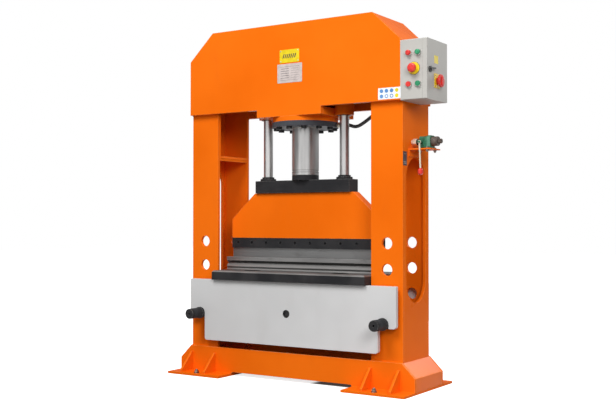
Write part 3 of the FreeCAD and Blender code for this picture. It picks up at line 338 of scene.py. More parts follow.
# other metals: turned bronze and zinc; "turned" stretches the grain into lathe lines
metals = {
    "bronze": {
        "low": srgb(72, 56, 42), "high": srgb(100, 80, 56),
        "rough": 0.4, "metal": 0.95, "turned": (60, 60, 900),
    },
    "zinc_steel": {
        "low": srgb(170, 170, 166), "high": srgb(206, 206, 200),
        "rough": 0.36, "metal": 0.95, "turned": (160, 160, 160),
    },
    "dull_zinc": {
        "low": srgb(128, 116, 108), "high": srgb(168, 156, 148),
        "rough": 0.45, "metal": 0.95, "turned": (160, 160, 160),
    },
    "lever_zinc": {
        "low": srgb(206, 196, 176), "high": srgb(232, 224, 206),
        "rough": 0.44, "metal": 0.3, "turned": (160, 160, 160),
    },
}
metalLayers = {
    "grain": {"scale": 1.0, "detail": 3.0, "low": 0.3, "high": 0.7},
    "spots": {"scale": 30.0, "detail": 4.0, "low": 0.5, "high": 0.75},
    "grainShare": 0.6, "spotsShare": 0.3, "spotsRough": 0.12, "deep": 0.05, "strength": 0.4,
}


def makeMetal(name, look):
    metal = Finish(name, metal=look["metal"])
    layers = metalLayers
    grain = metal.grain(stretch=look["turned"], **layers["grain"])
    spots = metal.grain(**layers["spots"])
    share = grain * layers["grainShare"] + spots * layers["spotsShare"]
    metal.feed(
        colour=metal.mix(share, look["low"], look["high"]),
        rough=look["rough"] + spots * layers["spotsRough"],
        normal=metal.relief(grain, layers["deep"], layers["strength"]),
    )
    return metal.material


# castings: painted over a sand-cast skin, with a painted highlight on the rounded edges
castings = {
    "valve_paint": {
        "low": srgb(34, 86, 62), "high": srgb(54, 116, 86), "edge": srgb(100, 154, 130), "rough": 0.42,
    },
    # a darker copy of the valve's green: painted shade on the neck
    "valve_neck_paint": {
        "low": srgb(34, 46, 38), "high": srgb(52, 66, 56), "edge": srgb(110, 120, 110), "rough": 0.45,
    },
    "valve_cap_paint": {
        "low": srgb(72, 62, 56), "high": srgb(104, 92, 84), "edge": srgb(150, 140, 130), "rough": 0.44,
    },
}
castLayers = {
    "skin": {"scale": 420.0, "detail": 4.0},
    "lumps": {"scale": 70.0, "detail": 3.0, "low": 0.35, "high": 0.7},
    "edgeHighlightShare": 0.75, "lumpsRough": 0.1, "clear": 0.08, "shine": 0.3, "deep": 0.35, "strength": 0.5,
}


def makeCasting(name, look):
    layers = castLayers
    cast = Finish(name, clear=layers["clear"], specular=layers["shine"])
    skin, lumps = cast.noise(**layers["skin"]), cast.grain(**layers["lumps"])
    shade = cast.mix(lumps, look["low"], look["high"])
    # painted highlight: the rounded edges, and faces marked like them, are mixed towards the lighter edge colour
    cast.feed(
        colour=cast.mix(cast.rim() * layers["edgeHighlightShare"], shade, look["edge"]),
        rough=look["rough"] + lumps * layers["lumpsRough"],
        normal=cast.relief(skin + lumps, layers["deep"], layers["strength"]),
    )
    return cast.material


# plastics, rubber, prints, and a near-black painted as shade deep in a hole
plastics = {
    "yellow_plastic": {"low": srgb(228, 196, 20), "high": srgb(242, 214, 36), "rough": 0.34, "clear": 0.2},
    "red_plastic": {"low": srgb(196, 36, 32), "high": srgb(222, 52, 44), "rough": 0.42, "clear": 0.12},
    "green_plastic": {"low": srgb(24, 124, 82), "high": srgb(46, 150, 104), "rough": 0.38, "clear": 0.15},
    "black_plastic": {"low": srgb(34, 33, 33), "high": srgb(52, 51, 50), "rough": 0.42, "clear": 0.0},
    "hose_rubber": {"low": srgb(22, 22, 23), "high": srgb(38, 38, 39), "rough": 0.6, "clear": 0.0},
    "white_print": {"low": srgb(226, 230, 234), "high": srgb(240, 242, 244), "rough": 0.4, "clear": 0.3},
    "blue_print": {"low": srgb(76, 128, 190), "high": srgb(98, 148, 206), "rough": 0.4, "clear": 0.3},
    "yellow_print": {"low": srgb(218, 194, 8), "high": srgb(230, 206, 16), "rough": 0.4, "clear": 0.1},
    "plate_print": {"low": srgb(190, 178, 174), "high": srgb(204, 192, 188), "rough": 0.45, "clear": 0.1},
    "dark_print": {"low": srgb(50, 42, 48), "high": srgb(70, 60, 68), "rough": 0.45, "clear": 0.05},
    "dark_steel": {"low": srgb(16, 16, 17), "high": srgb(28, 28, 28), "rough": 0.7, "clear": 0.0},
}
plasticLayers = {
    "mottle": {"scale": 45.0, "detail": 3.0, "low": 0.35, "high": 0.65},
    "skin": {"scale": 1100.0, "detail": 2.0},
    "mottleRough": 0.07, "clearRough": 0.15, "deep": 0.06, "strength": 0.3,
}


def makePlastic(name, look):
    layers = plasticLayers
    plastic = Finish(name, clear=look["clear"], clearRough=layers["clearRough"])
    mottle, skin = plastic.grain(**layers["mottle"]), plastic.noise(**layers["skin"])
    plastic.feed(
        colour=plastic.mix(mottle, look["low"], look["high"]),
        rough=look["rough"] + mottle * layers["mottleRough"],
        normal=plastic.relief(skin, layers["deep"], layers["strength"]),
    )
    return plastic.material


# slab of the table: black sides, a ground and oiled top
slabs = {
    "slab": {
        "side": blacks["black_steel"], "top": srgb(146, 146, 145), "topDark": srgb(108, 108, 107), "rough": 0.5,
    },
}
slabLayers = {
    "drift": {"scale": 7.0, "detail": 5.0, "low": 0.35, "high": 0.7},
    "lines": {"scale": 1.0, "detail": 4.0, "low": 0.3, "high": 0.75, "stretch": (5, 320, 1)},
    "topTilt": (0.4, 0.6), "linesShare": 0.6, "driftShare": 0.4, "driftRough": 0.12, "topRough": 0.06,
    "topMetal": 0.85, "shine": 0.1, "deep": 0.08, "strength": 0.3,
}


def makeSlab(name, look):
    layers = slabLayers
    slab = Finish(name, specular=layers["shine"])
    onTop = slab.upward().between(*layers["topTilt"])
    drift, lines = (slab.grain(**layers[layer]) for layer in ("drift", "lines"))
    side = slab.mix(drift, look["side"]["low"], look["side"]["high"])
    top = slab.mix(lines * layers["linesShare"] + drift * layers["driftShare"], look["topDark"], look["top"])
    slab.feed(
        colour=slab.mix(onTop, side, top),
        rough=look["rough"] + drift * layers["driftRough"] - onTop * layers["topRough"],
        metal=onTop * layers["topMetal"],
        normal=slab.relief(lines, layers["deep"], layers["strength"]),
    )
    return slab.material


finishes = {}
for make, looks in (
    (makePaint, paints), (makeBlackSteel, blacks), (makeGroundSteel, grounds), (makeChrome, chromes),
    (makeMetal, metals), (makeCasting, castings), (makePlastic, plastics), (makeSlab, slabs),
):
    finishes.update({name: make(name, look) for name, look in looks.items()})
slotOf = {part["node"]: part["material_slot"] for part in frame["record"]["subparts"]}
ownFinish = {  # nodes whose finish differs from their slot's
    "valve_lever": "lever_zinc", "hose_fittings": "lever_zinc", "cylinder_flange": "flange_steel",
    "crown_cover": "cover_paint", "base_end_covers": "cover_paint",
    "multi_v_die": "die_steel", "bolster": "slab",
}
for name, node in nodes.items():
    for k in range(len(node.data.materials)):
        node.data.materials[k] = finishes[ownFinish.get(name, slotOf[name])]
print("finishes made:", len(finishes))


def placed(name, data):  # a new object in the scene
    thing = bpy.data.objects.new(name, data)
    bpy.context.scene.collection.objects.link(thing)
    return thing


def meshObject(name, mesh, material):
    data = bpy.data.meshes.new(name)
    mesh.normal_update()
    mesh.to_mesh(data)
    mesh.free()
    data.materials.append(material)
    return placed(name, data)


def addPiece(name, mesh, body, finish, slot=None, sharp=35):  # edges over this many degrees stay crisp
    piece = meshObject(name, mesh, finishes[finish])
    piece.data.shade_smooth()
    piece.data.set_sharp_from_angle(angle=math.radians(sharp))
    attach(piece, body)
    slot or finish in slotOf.values()
    return piece


# the same plates with their edges broken, as a file or a grinder leaves them; widths in mm
softPieces = {
    "crown_front_plate": 1.6, "crown_back_plate": 1.6, "crown_cover": 2.4, "crown_seat_block": 1.2,
    "left_column_front_plate": 1.6, "left_column_back_plate": 1.6, "left_column_side_plate": 1.4,
    "right_column_front_plate": 1.6, "right_column_back_plate": 1.6, "right_column_side_plate": 1.4,
    "column_shelves": 1.4, "base_front_plate": 1.6, "base_back_plate": 1.6, "base_end_covers": 2.0,
    "foot_plates": 1.2, "foot_ribs": 1.2, "ram_beam": 1.8, "punch_holder": 0.8, "multi_v_die": 0.5,
    "bolster": 1.0, "table_front_plate": 1.4, "table_back_plate": 1.4, "valve_bracket": 0.8, "seat_ring": 1.0,
    "guide_tubes": 1.0, "platen": 0.8, "rod_collar": 0.8, "guide_collars": 0.8, "cylinder_flange": 0.8,
    "flange_bolts": 0.7, "table_pins": 0.8, "control_box": 2.4, "box_door": 2.4, "holder_screws": 0.4,
}
softening = {"joined": 1e-6, "flat": 0.4, "corner": 30, "segments": 2, "sharp": 50}  # a distance in m, angles


def softened(nodeName, width):
    node = nodes[nodeName]
    mesh = bmesh.new()
    mesh.from_mesh(node.data)
    bmesh.ops.remove_doubles(mesh, verts=mesh.verts, dist=softening["joined"])
    flat = math.radians(softening["flat"])
    bmesh.ops.dissolve_limit(mesh, angle_limit=flat, verts=mesh.verts, edges=mesh.edges)
    rim = mesh.faces.layers.float.new("rim")
    corner = math.radians(softening["corner"])
    edges = [e for e in mesh.edges if len(e.link_faces) == 2 and e.calc_face_angle() > corner]
    rounded = bmesh.ops.bevel(
        mesh, geom=edges, offset=width * mm, segments=softening["segments"], profile=0.5, affect="EDGES",
        clamp_overlap=True,
    )
    for face in rounded["faces"]:
        face[rim] = 1.0
    slot = slotOf[nodeName]
    finish = ownFinish.get(nodeName, slot)
    piece = addPiece("soft_" + nodeName, mesh, node["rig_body"], finish, slot, softening["sharp"])
    even = piece.modifiers.new("even", "WEIGHTED_NORMAL")
    even.keep_sharp = True
    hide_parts(nodeName)


for nodeName, width in softPieces.items():
    softened(nodeName, width)
print("softened pieces:", len(softPieces))


# shapes shared by the fittings; lengths in mm
def bridge(mesh, low, high):  # faces between two closed rings of points; a ring of one point makes a cone
    count = max(len(low), len(high))
    for k in range(count):
        following = (k + 1) % count
        lowPair = (low[k % len(low)], low[following % len(low)])
        highPair = (high[following % len(high)], high[k % len(high)])
        corners = dict.fromkeys(lowPair + highPair)  # each point once
        if len(corners) > 2:
            mesh.faces.new(list(corners))


def lathe(mesh, profile, centre, axis, sides=32):  # profile of (radius, height)
    turn = axis.to_track_quat("Z", "Y").to_matrix()
    rings = []
    for radius, height in profile:
        angles = [2 * math.pi * k / sides for k in range(sides)] if radius else [0]
        spots = [Vector((radius * math.cos(angle), radius * math.sin(angle), height)) for angle in angles]
        rings.append([mesh.verts.new((Vector(centre) + turn @ spot) * mm) for spot in spots])
    for low, high in zip(rings, rings[1:]):
        bridge(mesh, low, high)


def turned(name, profile, spots, body, finish, slot=None, sides=32, sharp=30):  # spots of (centre, axis)
    mesh = bmesh.new()
    for centre, axis in spots:
        lathe(mesh, profile, centre, axis, sides)
    bmesh.ops.remove_doubles(mesh, verts=mesh.verts, dist=softening["joined"])
    addPiece(name, mesh, body, finish, slot, sharp)


def slab(mesh, outline, place, depth):  # closed plate; place turns (u, v, w) into a point
    low = [mesh.verts.new(place(u, v, 0) * mm) for u, v in outline]
    high = [mesh.verts.new(place(u, v, depth) * mm) for u, v in outline]
    mesh.faces.new(low[::-1])
    mesh.faces.new(high)
    bridge(mesh, low, high)


def pour(part, mesh):  # adds one shape to another and lets it go
    data = bpy.data.meshes.new("part")
    part.to_mesh(data)
    mesh.from_mesh(data)
    part.free()
    bpy.data.meshes.remove(data)


def roundedOutline(halfWidth, halfHeight, radius, steps=5):
    points = []
    for sideways, upwards, start in ((1, 1, 0), (-1, 1, 90), (-1, -1, 180), (1, -1, 270)):
        for k in range(steps + 1):
            angle = math.radians(start + 90 * k / steps)
            u = sideways * (halfWidth - radius) + radius * math.cos(angle)
            v = upwards * (halfHeight - radius) + radius * math.sin(angle)
            points.append((u, v))
    return points


def hexOutline(flats, turn=0.0):
    corner, angles = flats / math.sqrt(3), [turn + k * math.pi / 3 for k in range(6)]
    return [(corner * math.cos(angle), corner * math.sin(angle)) for angle in angles]


def onFront(x, z, y):  # a plate on a face that looks towards -Y
    return lambda u, v, w: Vector((x + u, y - w, z + v))


def onSide(y, z, x):  # a plate on a face that looks towards +X
    return lambda u, v, w: Vector((x + w, y + u, z + v))


def onTop(x, y, z):  # a plate on a face that looks up
    return lambda u, v, w: Vector((x + u, y + v, z + w))


# painted weld beads along straight joints, laid in overlapping ripples
frameSizes = {
    "columnInner": 479, "columnOuter": 655, "columnFace": 143, "crownFace": 168, "crownBottom": 1422,
    "baseFace": 158, "baseTop": 148, "baseHalf": 726, "footInner": 377, "footTop": 12,
    "ribTop": 115, "ribReach": 100, "ribSides": (479, 491, 636, 648),
    "shelfLow": 1184, "shelfTop": 1194, "shelfHalf": 125,
}
weldLook = {
    "legs": {"column": 5.0 * mm, "base": 4 * mm, "rib": 3.5 * mm, "shelf": 3 * mm},
    "pitch": 5.0 * mm, "ringsPerPitch": 3, "fewest": 4, "sides": 8,
    "core": 0.82, "ripple": 0.16, "jitter": 0.05, "sharp": 60, "seed": 7,
}
chance = random.Random(weldLook["seed"])


def weld(mesh, start, end, leg):
    start, end = Vector(start) * mm, Vector(end) * mm
    run = end - start
    forward = run.normalized()
    side = forward.orthogonal().normalized()
    lift = forward.cross(side)
    steps = max(weldLook["fewest"], int(run.length / weldLook["pitch"] * weldLook["ringsPerPitch"]))
    angles = [2 * math.pi * k / weldLook["sides"] for k in range(weldLook["sides"])]
    spokes = [side * math.cos(angle) + lift * math.sin(angle) for angle in angles]
    rings = []
    for k in range(steps + 1):
        share = k / steps
        ripple = abs(math.sin(math.pi * share * run.length / weldLook["pitch"])) * weldLook["ripple"]
        radius = leg * (weldLook["core"] + ripple + chance.uniform(-1, 1) * weldLook["jitter"])
        centre = start + run * share
        rings.append([mesh.verts.new(centre + spoke * radius) for spoke in spokes])
    for low, high in zip(rings, rings[1:]):
        bridge(mesh, low, high)
    mesh.faces.new(rings[0][::-1])
    mesh.faces.new(rings[-1])


def weldBeads():
    s, legs = frameSizes, weldLook["legs"]
    beads = bmesh.new()
    for side in (-1, 1):
        inner, outer = side * s["columnInner"], side * s["columnOuter"]
        for face in (-1, 1):
            y, yBase = face * s["columnFace"], face * s["baseFace"]
            weld(beads, (inner, y, s["crownBottom"]), (outer, y, s["crownBottom"]), legs["column"])
            weld(beads, (inner, y, s["baseTop"]), (outer, y, s["baseTop"]), legs["column"])
            footFrom, footTo = side * s["footInner"], side * s["baseHalf"]
            weld(beads, (footFrom, yBase, s["footTop"]), (footTo, yBase, s["footTop"]), legs["base"])
            for x in s["ribSides"]:
                foot = (side * x, yBase, s["footTop"])
                weld(beads, foot, (side * x, yBase, s["ribTop"]), legs["rib"])
                weld(beads, foot, (side * x, yBase + face * s["ribReach"], s["footTop"]), legs["rib"])
        near, far = -s["shelfHalf"], s["shelfHalf"]
        weld(beads, (inner, near, s["shelfLow"]), (inner, far, s["shelfLow"]), legs["shelf"])
        weld(beads, (inner, near, s["crownBottom"]), (inner, near, s["shelfTop"]), legs["shelf"])
    addPiece("weld_beads", beads, "frame", "frame_paint", sharp=weldLook["sharp"])


weldBeads()
print("welds laid")


# anchor bolts through the foot plates
anchor = {
    "x": 548, "y": 240, "face": 12, "washer": [(0, 0), (15, 0), (15, 2.4), (14.4, 3), (0, 3)],
    "nutLow": 3, "nutHigh": 12, "flats": 22, "nutEdge": 1.0,
    "studFoot": -12.0, "studTop": 22, "tip": 5, "pitch": 2.5, "thread": [(6, 0), (7, 1.0), (7, 1.3), (6, 2.4)],
}


def anchorBolts():
    stud = [(0, anchor["studFoot"])]
    height = anchor["studFoot"]
    while height < anchor["studTop"] - anchor["pitch"]:
        stud += [(radius, height + rise) for radius, rise in anchor["thread"]]
        height += anchor["pitch"]
    stud += [(anchor["tip"], anchor["studTop"]), (0, anchor["studTop"])]
    bolts = bmesh.new()
    for x in (-anchor["x"], anchor["x"]):
        for y in (-anchor["y"], anchor["y"]):
            centre = (x, y, anchor["face"])
            lathe(bolts, anchor["washer"], centre, up, 36)
            nut = bmesh.new()
            hexagon = hexOutline(anchor["flats"], chance.uniform(0, 1))
            slab(nut, hexagon, onTop(x, y, anchor["face"] + anchor["nutLow"]), anchor["nutHigh"])
            edge = anchor["nutEdge"] * mm
            bmesh.ops.bevel(nut, geom=nut.edges[:], offset=edge, segments=2, profile=0.5, affect="EDGES")
            pour(nut, bolts)
            lathe(bolts, stud, centre, up, 20)
    addPiece("anchor_bolts", bolts, "frame", "dull_zinc", "zinc_steel", sharp=30)


anchorBolts()


# blank plates and stickers, with their rivets; each lies on a flat face
ink = 0.15  # mm, how far printed lines stand up
plates = {
    "badge": {
        "x": 9.5, "z": 1694, "wide": 122, "high": 68, "corner": 5, "thick": 1.2, "rivet": 3.4, "rivetInset": 7,
        "strokes": range(-36, 37, 12), "stroke": [(-7, -11), (-1, -11), (7, 11), (1, 11)],
    },
    "dataPlate": {
        "x": 11, "z": 1604.5, "wide": 154, "high": 99, "corner": 3, "thick": 1.0, "rivet": 2.6, "rivetInset": 6,
        "head": (0, 34, 60, 0.5), "foot": (0, -36, 60, 0.5),
        "rows": (24, 12, 0, -12, -24), "words": (-30, 26, 1.1), "blanks": (32, 24, 0.5),
    },
    "label": {
        "x": 595, "z": 1456.5, "wide": 124, "high": 56, "corner": 2, "thick": 0.3,
        "columns": 4, "middle": 1.55, "pitch": 28, "rowHigh": 13, "dot": 9.6, "hole": 5.5,
    },
    "sideSign": {
        "y": -121, "z": 1139.5, "wide": 40, "high": 69, "corner": 2, "thick": 0.8,
        "lines": [(0, -16.5, 15, 0.9), (0, -23.5, 15, 0.9), (0, 22.5, 13, 0.6)],
    },
    "doorSticker": {"y": -67, "z": 1616, "x": 797.7, "wide": 44, "high": 39, "corner": 3, "thick": 0.3},
}


def plateBody(name, look, place, finish, body="frame"):
    mesh = bmesh.new()
    slab(mesh, roundedOutline(look["wide"] / 2, look["high"] / 2, look["corner"]), place, look["thick"])
    addPiece(name, mesh, body, finish)


def ruledBars(name, place, bars, lift, finish, thick=ink):  # bars of (u, v, half length, half height)
    mesh = bmesh.new()
    for u, v, halfWidth, halfHeight in bars:
        corners = roundedOutline(halfWidth, halfHeight, min(halfWidth, halfHeight) * 0.4, 2)
        slab(mesh, [(a + u, b + v) for a, b in corners], lambda a, b, w: place(a, b, w + lift), thick)
    addPiece(name, mesh, "frame", finish)


def rivets(mesh, look, place):  # a low dome in each corner
    radius = look["rivet"]
    dome = [(radius, 0), (radius * 0.92, radius * 0.3), (radius * 0.6, radius * 0.6), (0, radius * 0.72)]
    wide, high = look["wide"] / 2 - look["rivetInset"], look["high"] / 2 - look["rivetInset"]
    for u in (-wide, wide):
        for v in (-high, high):
            lathe(mesh, dome, place(u, v, look["thick"]), toFront, 16)


def crownPlates():
    look, face, fixings = plates["badge"], -frameSizes["crownFace"], bmesh.new()
    place = onFront(look["x"], look["z"], face)
    plateBody("badge", look, place, "yellow_print")
    strokes, surface = bmesh.new(), onFront(look["x"], look["z"], face - look["thick"])
    for u in look["strokes"]:
        slab(strokes, [(a + u, b) for a, b in look["stroke"]], surface, ink)
    addPiece("badge_strokes", strokes, "frame", "dark_print")
    rivets(fixings, look, place)
    look = plates["dataPlate"]
    place = onFront(look["x"], look["z"], face)
    plateBody("data_plate", look, place, "plate_print")
    rows = [look["head"]]
    for u, halfWidth, halfHeight in (look["words"], look["blanks"]):
        rows += [(u, v, halfWidth, halfHeight) for v in look["rows"]]
    ruledBars("data_plate_rows", place, rows + [look["foot"]], look["thick"], "dark_print")
    rivets(fixings, look, place)
    addPiece("plate_rivets", fixings, "frame", "zinc_steel", sharp=50)


def crownLabel():  # two rows of plain dots, two of them rings
    look = plates["label"]
    place = onFront(look["x"], look["z"], -frameSizes["crownFace"])
    plateBody("label", look, place, "white_print")
    dots, endDots = bmesh.new(), bmesh.new()
    for column in range(look["columns"]):
        last = column == look["columns"] - 1
        for row in (-1, 1):
            hole = look["hole"] if row < 0 and column > 0 and not last else 0
            centre = place((column - look["middle"]) * look["pitch"], row * look["rowHigh"], look["thick"])
            disc = [(look["dot"], 0), (look["dot"], ink), (hole, ink)]
            lathe(endDots if last else dots, disc, centre, toFront, 28)
    addPiece("label_dots", dots, "frame", "blue_print")
    addPiece("label_end_dots", endDots, "frame", "yellow_print")


def sidePlates():
    look = plates["sideSign"]
    place = onSide(look["y"], look["z"], frameSizes["columnOuter"])
    plateBody("side_sign", look, place, "dark_print")
    ruledBars("side_sign_lines", place, look["lines"], look["thick"], "plate_print")
    look = plates["doorSticker"]
    plateBody("door_sticker", look, onSide(look["y"], look["z"], look["x"]), "yellow_print", "door")


crownPlates()
crownLabel()
sidePlates()

# rubber seal round the door's opening, and a thin rim round the emergency ring
doorSeal = {"x": 771.8, "y": -54.5, "z": 1564, "wide": 110.3, "high": 142.8, "half": 2, "thick": 1.7}
ringRim = {"centre": (728.4, -168, 1567), "form": [(30.1, 0), (31.4, 0), (31.4, 1.8), (30.1, 2.2), (30.1, 0)]}


def boxTrim():
    wide, high, half = doorSeal["wide"], doorSeal["high"], doorSeal["half"]
    bars = [(0, v, wide + half, half) for v in (high, -high)]
    bars += [(u, 0, half, high + half) for u in (wide, -wide)]
    place = onSide(doorSeal["y"], doorSeal["z"], doorSeal["x"])
    ruledBars("door_seal", place, bars, 0, "black_plastic", doorSeal["thick"])
    spots = [(ringRim["centre"], toFront)]
    turned("estop_ring_rim", ringRim["form"], spots, "frame", "black_plastic", sides=64, sharp=35)


boxTrim()
print("plates fixed")


# the pressure hose, with a crimped ferrule at the cylinder's port
hose = {
    "route": [  # control points of its line, from the port to the elbow
        (190.6, 50, 1343), (235.6, 50, 1343), (283, 50, 1324), (335, 47, 1347), (395.6, 40, 1384),
        (486, 31, 1430), (541, 16, 1432), (590, -2, 1406), (618, -21, 1358), (620, -40, 1300), (620, -40, 1248),
    ],
    "radius": 9, "length": 0.6,
    "ferruleAt": (190, 50, 1343),
    "ferrule": [
        (9.2, 0), (12.0, 0.6), (12.0, 5), (11.2, 6), (11.2, 9), (12.0, 10), (12.0, 14), (11.2, 15), (11.2, 18),
        (12.0, 19), (12.0, 24), (11.0, 26), (9.2, 26),
    ],
}


def hoseLine():
    line = bpy.data.curves.new("hose", "CURVE")
    line.dimensions = "3D"
    spline = line.splines.new("NURBS")
    spline.points.add(len(hose["route"]) - 1)
    for point, (x, y, z) in zip(spline.points, hose["route"]):
        point.co = (x * mm, y * mm, z * mm, 1)
    spline.order_u = 3
    spline.use_endpoint_u = True
    spline.resolution_u = 16
    line.bevel_depth = hose["radius"] * mm
    line.bevel_resolution = 6
    line.use_fill_caps = True
    line.materials.append(finishes["hose_rubber"])
    piece = placed("hose", line)
    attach(piece, "frame")
    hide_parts("pressure_hose")


hoseLine()
ferruleSpots = [(hose["ferruleAt"], toRight)]
turned("hose_ferrule", hose["ferrule"], ferruleSpots, "frame", "black_plastic", "zinc_steel", sides=28, sharp=40)
print("hose laid")


# the valve: a block with an end flange, a raised pad round the lever's boss, and a neck towards the pipe
valve = {
    "y": -40, "corner": 0.6,  # in radians, what is rounded
    "block": {"x": 706, "z": 1219, "wide": 25, "high": 30, "corner": 8, "thick": 40, "edge": 1.6},
    "flange": {"x": 746, "z": 1220.5, "wide": 28, "high": 31.5, "corner": 9, "thick": 18, "edge": 2.0},
    "pad": {"x": 719.5, "z": 1219, "y": -64.5, "wide": 13, "high": 17, "corner": 5, "thick": 2.0, "edge": 0.5},
    "paintedLitFrom": 746, "paintedLitFace": -67.5, "paintedLitShare": 0.8,  # the flange's front is painted paler, a painted highlight
    "bossAt": (719, -65, 1220),
    "boss": [(0, -2), (8, -2), (8, 21.4), (7.4, 22), (5, 22), (5, 33.4), (4.4, 34), (0, 34)],
    "screwFace": -66.4, "screwsAt": [(-9, 13), (9, 13), (-9, -13), (9, -13)],
    "screw": [(0, -1), (2.6, -1), (2.6, 1.6), (2.2, 2.0), (1.2, 2.0), (1.2, 0.8), (0, 0.8)],
    "neckAt": (682, -40, 1223), "neck": [
        (0, 0), (14.4, 0), (15, 0.8), (15, 7), (12.6, 9), (12.6, 12), (19, 14), (20, 15), (20, 24.5), (0, 24.5),
    ],
}


def castBlock(mesh, look, place):
    part = bmesh.new()
    rim = part.faces.layers.float.new("rim")
    slab(part, roundedOutline(look["wide"], look["high"], look["corner"]), place, look["thick"])
    sharp = [e for e in part.edges if e.calc_face_angle() > valve["corner"]]
    edge = look["edge"] * mm
    rounded = bmesh.ops.bevel(part, geom=sharp, offset=edge, segments=3, profile=0.5, affect="EDGES")
    for face in rounded["faces"]:
        face[rim] = 1.0
    pour(part, mesh)


def valveCasting():
    cast = bmesh.new()
    rim = cast.faces.layers.float.new("rim")
    for look in (valve["block"], valve["flange"]):
        castBlock(cast, look, onSide(valve["y"], look["z"], look["x"]))
    # painted highlight: the flange's front faces get the lighter edge colour
    for face in cast.faces:
        middle = face.calc_center_median()
        if middle.y < valve["paintedLitFace"] * mm and middle.x > valve["paintedLitFrom"] * mm:
            face[rim] = valve["paintedLitShare"]
    pad = valve["pad"]
    castBlock(cast, pad, onFront(pad["x"], pad["z"], pad["y"]))
    lathe(cast, valve["boss"], valve["bossAt"], toFront, 32)
    for u, v in valve["screwsAt"]:
        lathe(cast, valve["screw"], (pad["x"] + u, valve["screwFace"], pad["z"] + v), toFront, 16)
    piece = addPiece("valve_casting", cast, nodes["valve_body"]["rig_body"], "valve_paint", "valve_paint", sharp=40)
    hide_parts("valve_body")


valveCasting()
# the neck takes the darker green: painted shade
neckSpots = [(valve["neckAt"], toRight)]
turned("valve_neck", valve["neck"], neckSpots, "frame", "valve_neck_paint", sides=40, sharp=40)

# two dark scribed rings near the foot of the piston rod
rodRings = {"heights": (1093, 1104), "form": [(71.8, 0), (72.15, 0), (72.15, 1.8), (71.8, 1.8), (71.8, 0)]}
ringSpots = [((0, 0, z), up) for z in rodRings["heights"]]
rod = nodes["piston_rod"]["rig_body"]
turned("rod_rings", rodRings["form"], ringSpots, rod, "black_plastic", sides=96, sharp=35)

# liners in the tooling holes of the bolster, near-black as painted shade deep in the holes
liner = {
    "x": 276, "y": 100, "top": 568,
    "form": [
        (33.4, -49), (35.5, -49), (35.5, -1), (46, -1), (46, 0.2), (45.6, 0.4), (34.4, 0.4), (33.4, -0.6),
        (33.4, -49),
    ],
}
linerSpots = [((x, y, liner["top"]), up) for x in (-liner["x"], liner["x"]) for y in (-liner["y"], liner["y"])]
bolster = nodes["bolster"]["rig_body"]
turned("tooling_liners", liner["form"], linerSpots, bolster, "dark_steel", "black_steel", sides=56)

# blind cups in the lifting holes of both table plates, near-black as painted shade inside the holes
cup = {
    "y": 184.4, "z": 355,
    "form": [
        (0, 9), (17.6, 9), (17.6, 0.4), (18.2, -0.3), (20.6, -0.5), (20.6, 0.0), (19.0, 0.0), (18.9, 22), (0, 22),
    ],
}
cupSpots = [((0, -cup["y"], cup["z"]), toBack), ((0, cup["y"], cup["z"]), toFront)]
table = nodes["table_front_plate"]["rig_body"]
turned("table_cups", cup["form"], cupSpots, table, "dark_steel", "black_steel", sides=40)

# three grip rings on the front end of each table pin
grip = {
    "x": 567, "z": 333.5, "places": (-262, -252, -242),
    "form": [(27.3, 0), (27.8, 0.3), (27.8, 2.2), (27.3, 2.5), (27.0, 1.2), (27.3, 0)],
}
gripSpots = [((x, y, grip["z"]), toBack) for x in (-grip["x"], grip["x"]) for y in grip["places"]]
pins = nodes["table_pins"]["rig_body"]
turned("pin_rings", grip["form"], gripSpots, pins, "flange_steel", "black_steel", sides=48)

# hex bolts through the valve's bracket
bracketBolt = {
    "places": ((752, 14), (752, -72), (672, 14)), "face": 1189,
    "flats": 13, "hexes": ((1.8, 7.5), (-14.5, -7.8)),  # head and nut, up from the face
    "washer": [(0, 0), (9.5, 0), (9.5, 1.4), (9, 1.8), (0, 1.8)],
    "stud": [(0, -18.5), (3.4, -18.5), (4, -17.9), (4, 0), (0, 0)],
    "lowWasher": [(0, -7.8), (9.5, -7.8), (9.5, -6.2), (0, -6.2)],
}


def bracketBolts():
    bolts = bmesh.new()
    for x, y in bracketBolt["places"]:
        centre = (x, y, bracketBolt["face"])
        lathe(bolts, bracketBolt["washer"], centre, up, 28)
        for low, high in bracketBolt["hexes"]:
            slab(bolts, hexOutline(bracketBolt["flats"]), onTop(x, y, bracketBolt["face"] + low), high - low)
        lathe(bolts, bracketBolt["stud"], centre, up, 20)
        lathe(bolts, bracketBolt["lowWasher"], centre, up, 28)
    addPiece("bracket_bolts", bolts, "frame", "dull_zinc", "zinc_steel", sharp=30)


bracketBolts()

# two round marks on the switch plate
mark = {"x": 800.7, "y": -81, "heights": (1538, 1487), "form": [(3.4, 0), (3.4, 0.2), (0, 0.2)]}
markSpots = [((mark["x"], mark["y"], z), toRight) for z in mark["heights"]]
turned("switch_plate_marks", mark["form"], markSpots, "door", "dark_print", sides=24, sharp=35)
print("valve and fittings made")


# stage: a pale floor with a painted shadow beneath the base, white behind, soft lamps
stageLook = {
    "floor": (0.86, 0.86, 0.86, 1.0),
    "floorBounce": (0.24, 0.24, 0.24, 1.0),
    "floorGlow": 0.76,
    "floorHalf": 20,
    "floorLow": -0.0008,
    "skyStrength": 0.42,
    "white": (1, 1, 1, 1),
    "lamps": [  # place, size in m, watts, seen in polished metal
        ((0.2, -4.2, 5.9), 2.6, 310.0, True),
        ((4.0, -3.6, 3.0), 1.8, 135.0, False),
        ((1.6, 5.0, 3.4), 2.0, 100.0, True),
    ],
    "aim": (0.0, 0.0, 0.9),
    "under": {  # painted shadow on the floor beneath the base: where it starts and is full, along X and Y
        "X": ((0.09, 0.14), (0.67, 0.66)), "Y": ((-0.135, -0.115), (0.14, 0.12)),
        "shade": (0.055, 0.042, 0.037, 1.0),
    },
    "cards": {  # curved dark cards for polished metal: from and to in degrees, shade
        "each": [(-27, 115, 0.26), (131, 240, 0.26)], "radius": 7, "low": -0.5, "high": 7.0, "steps": 16,
    },
}


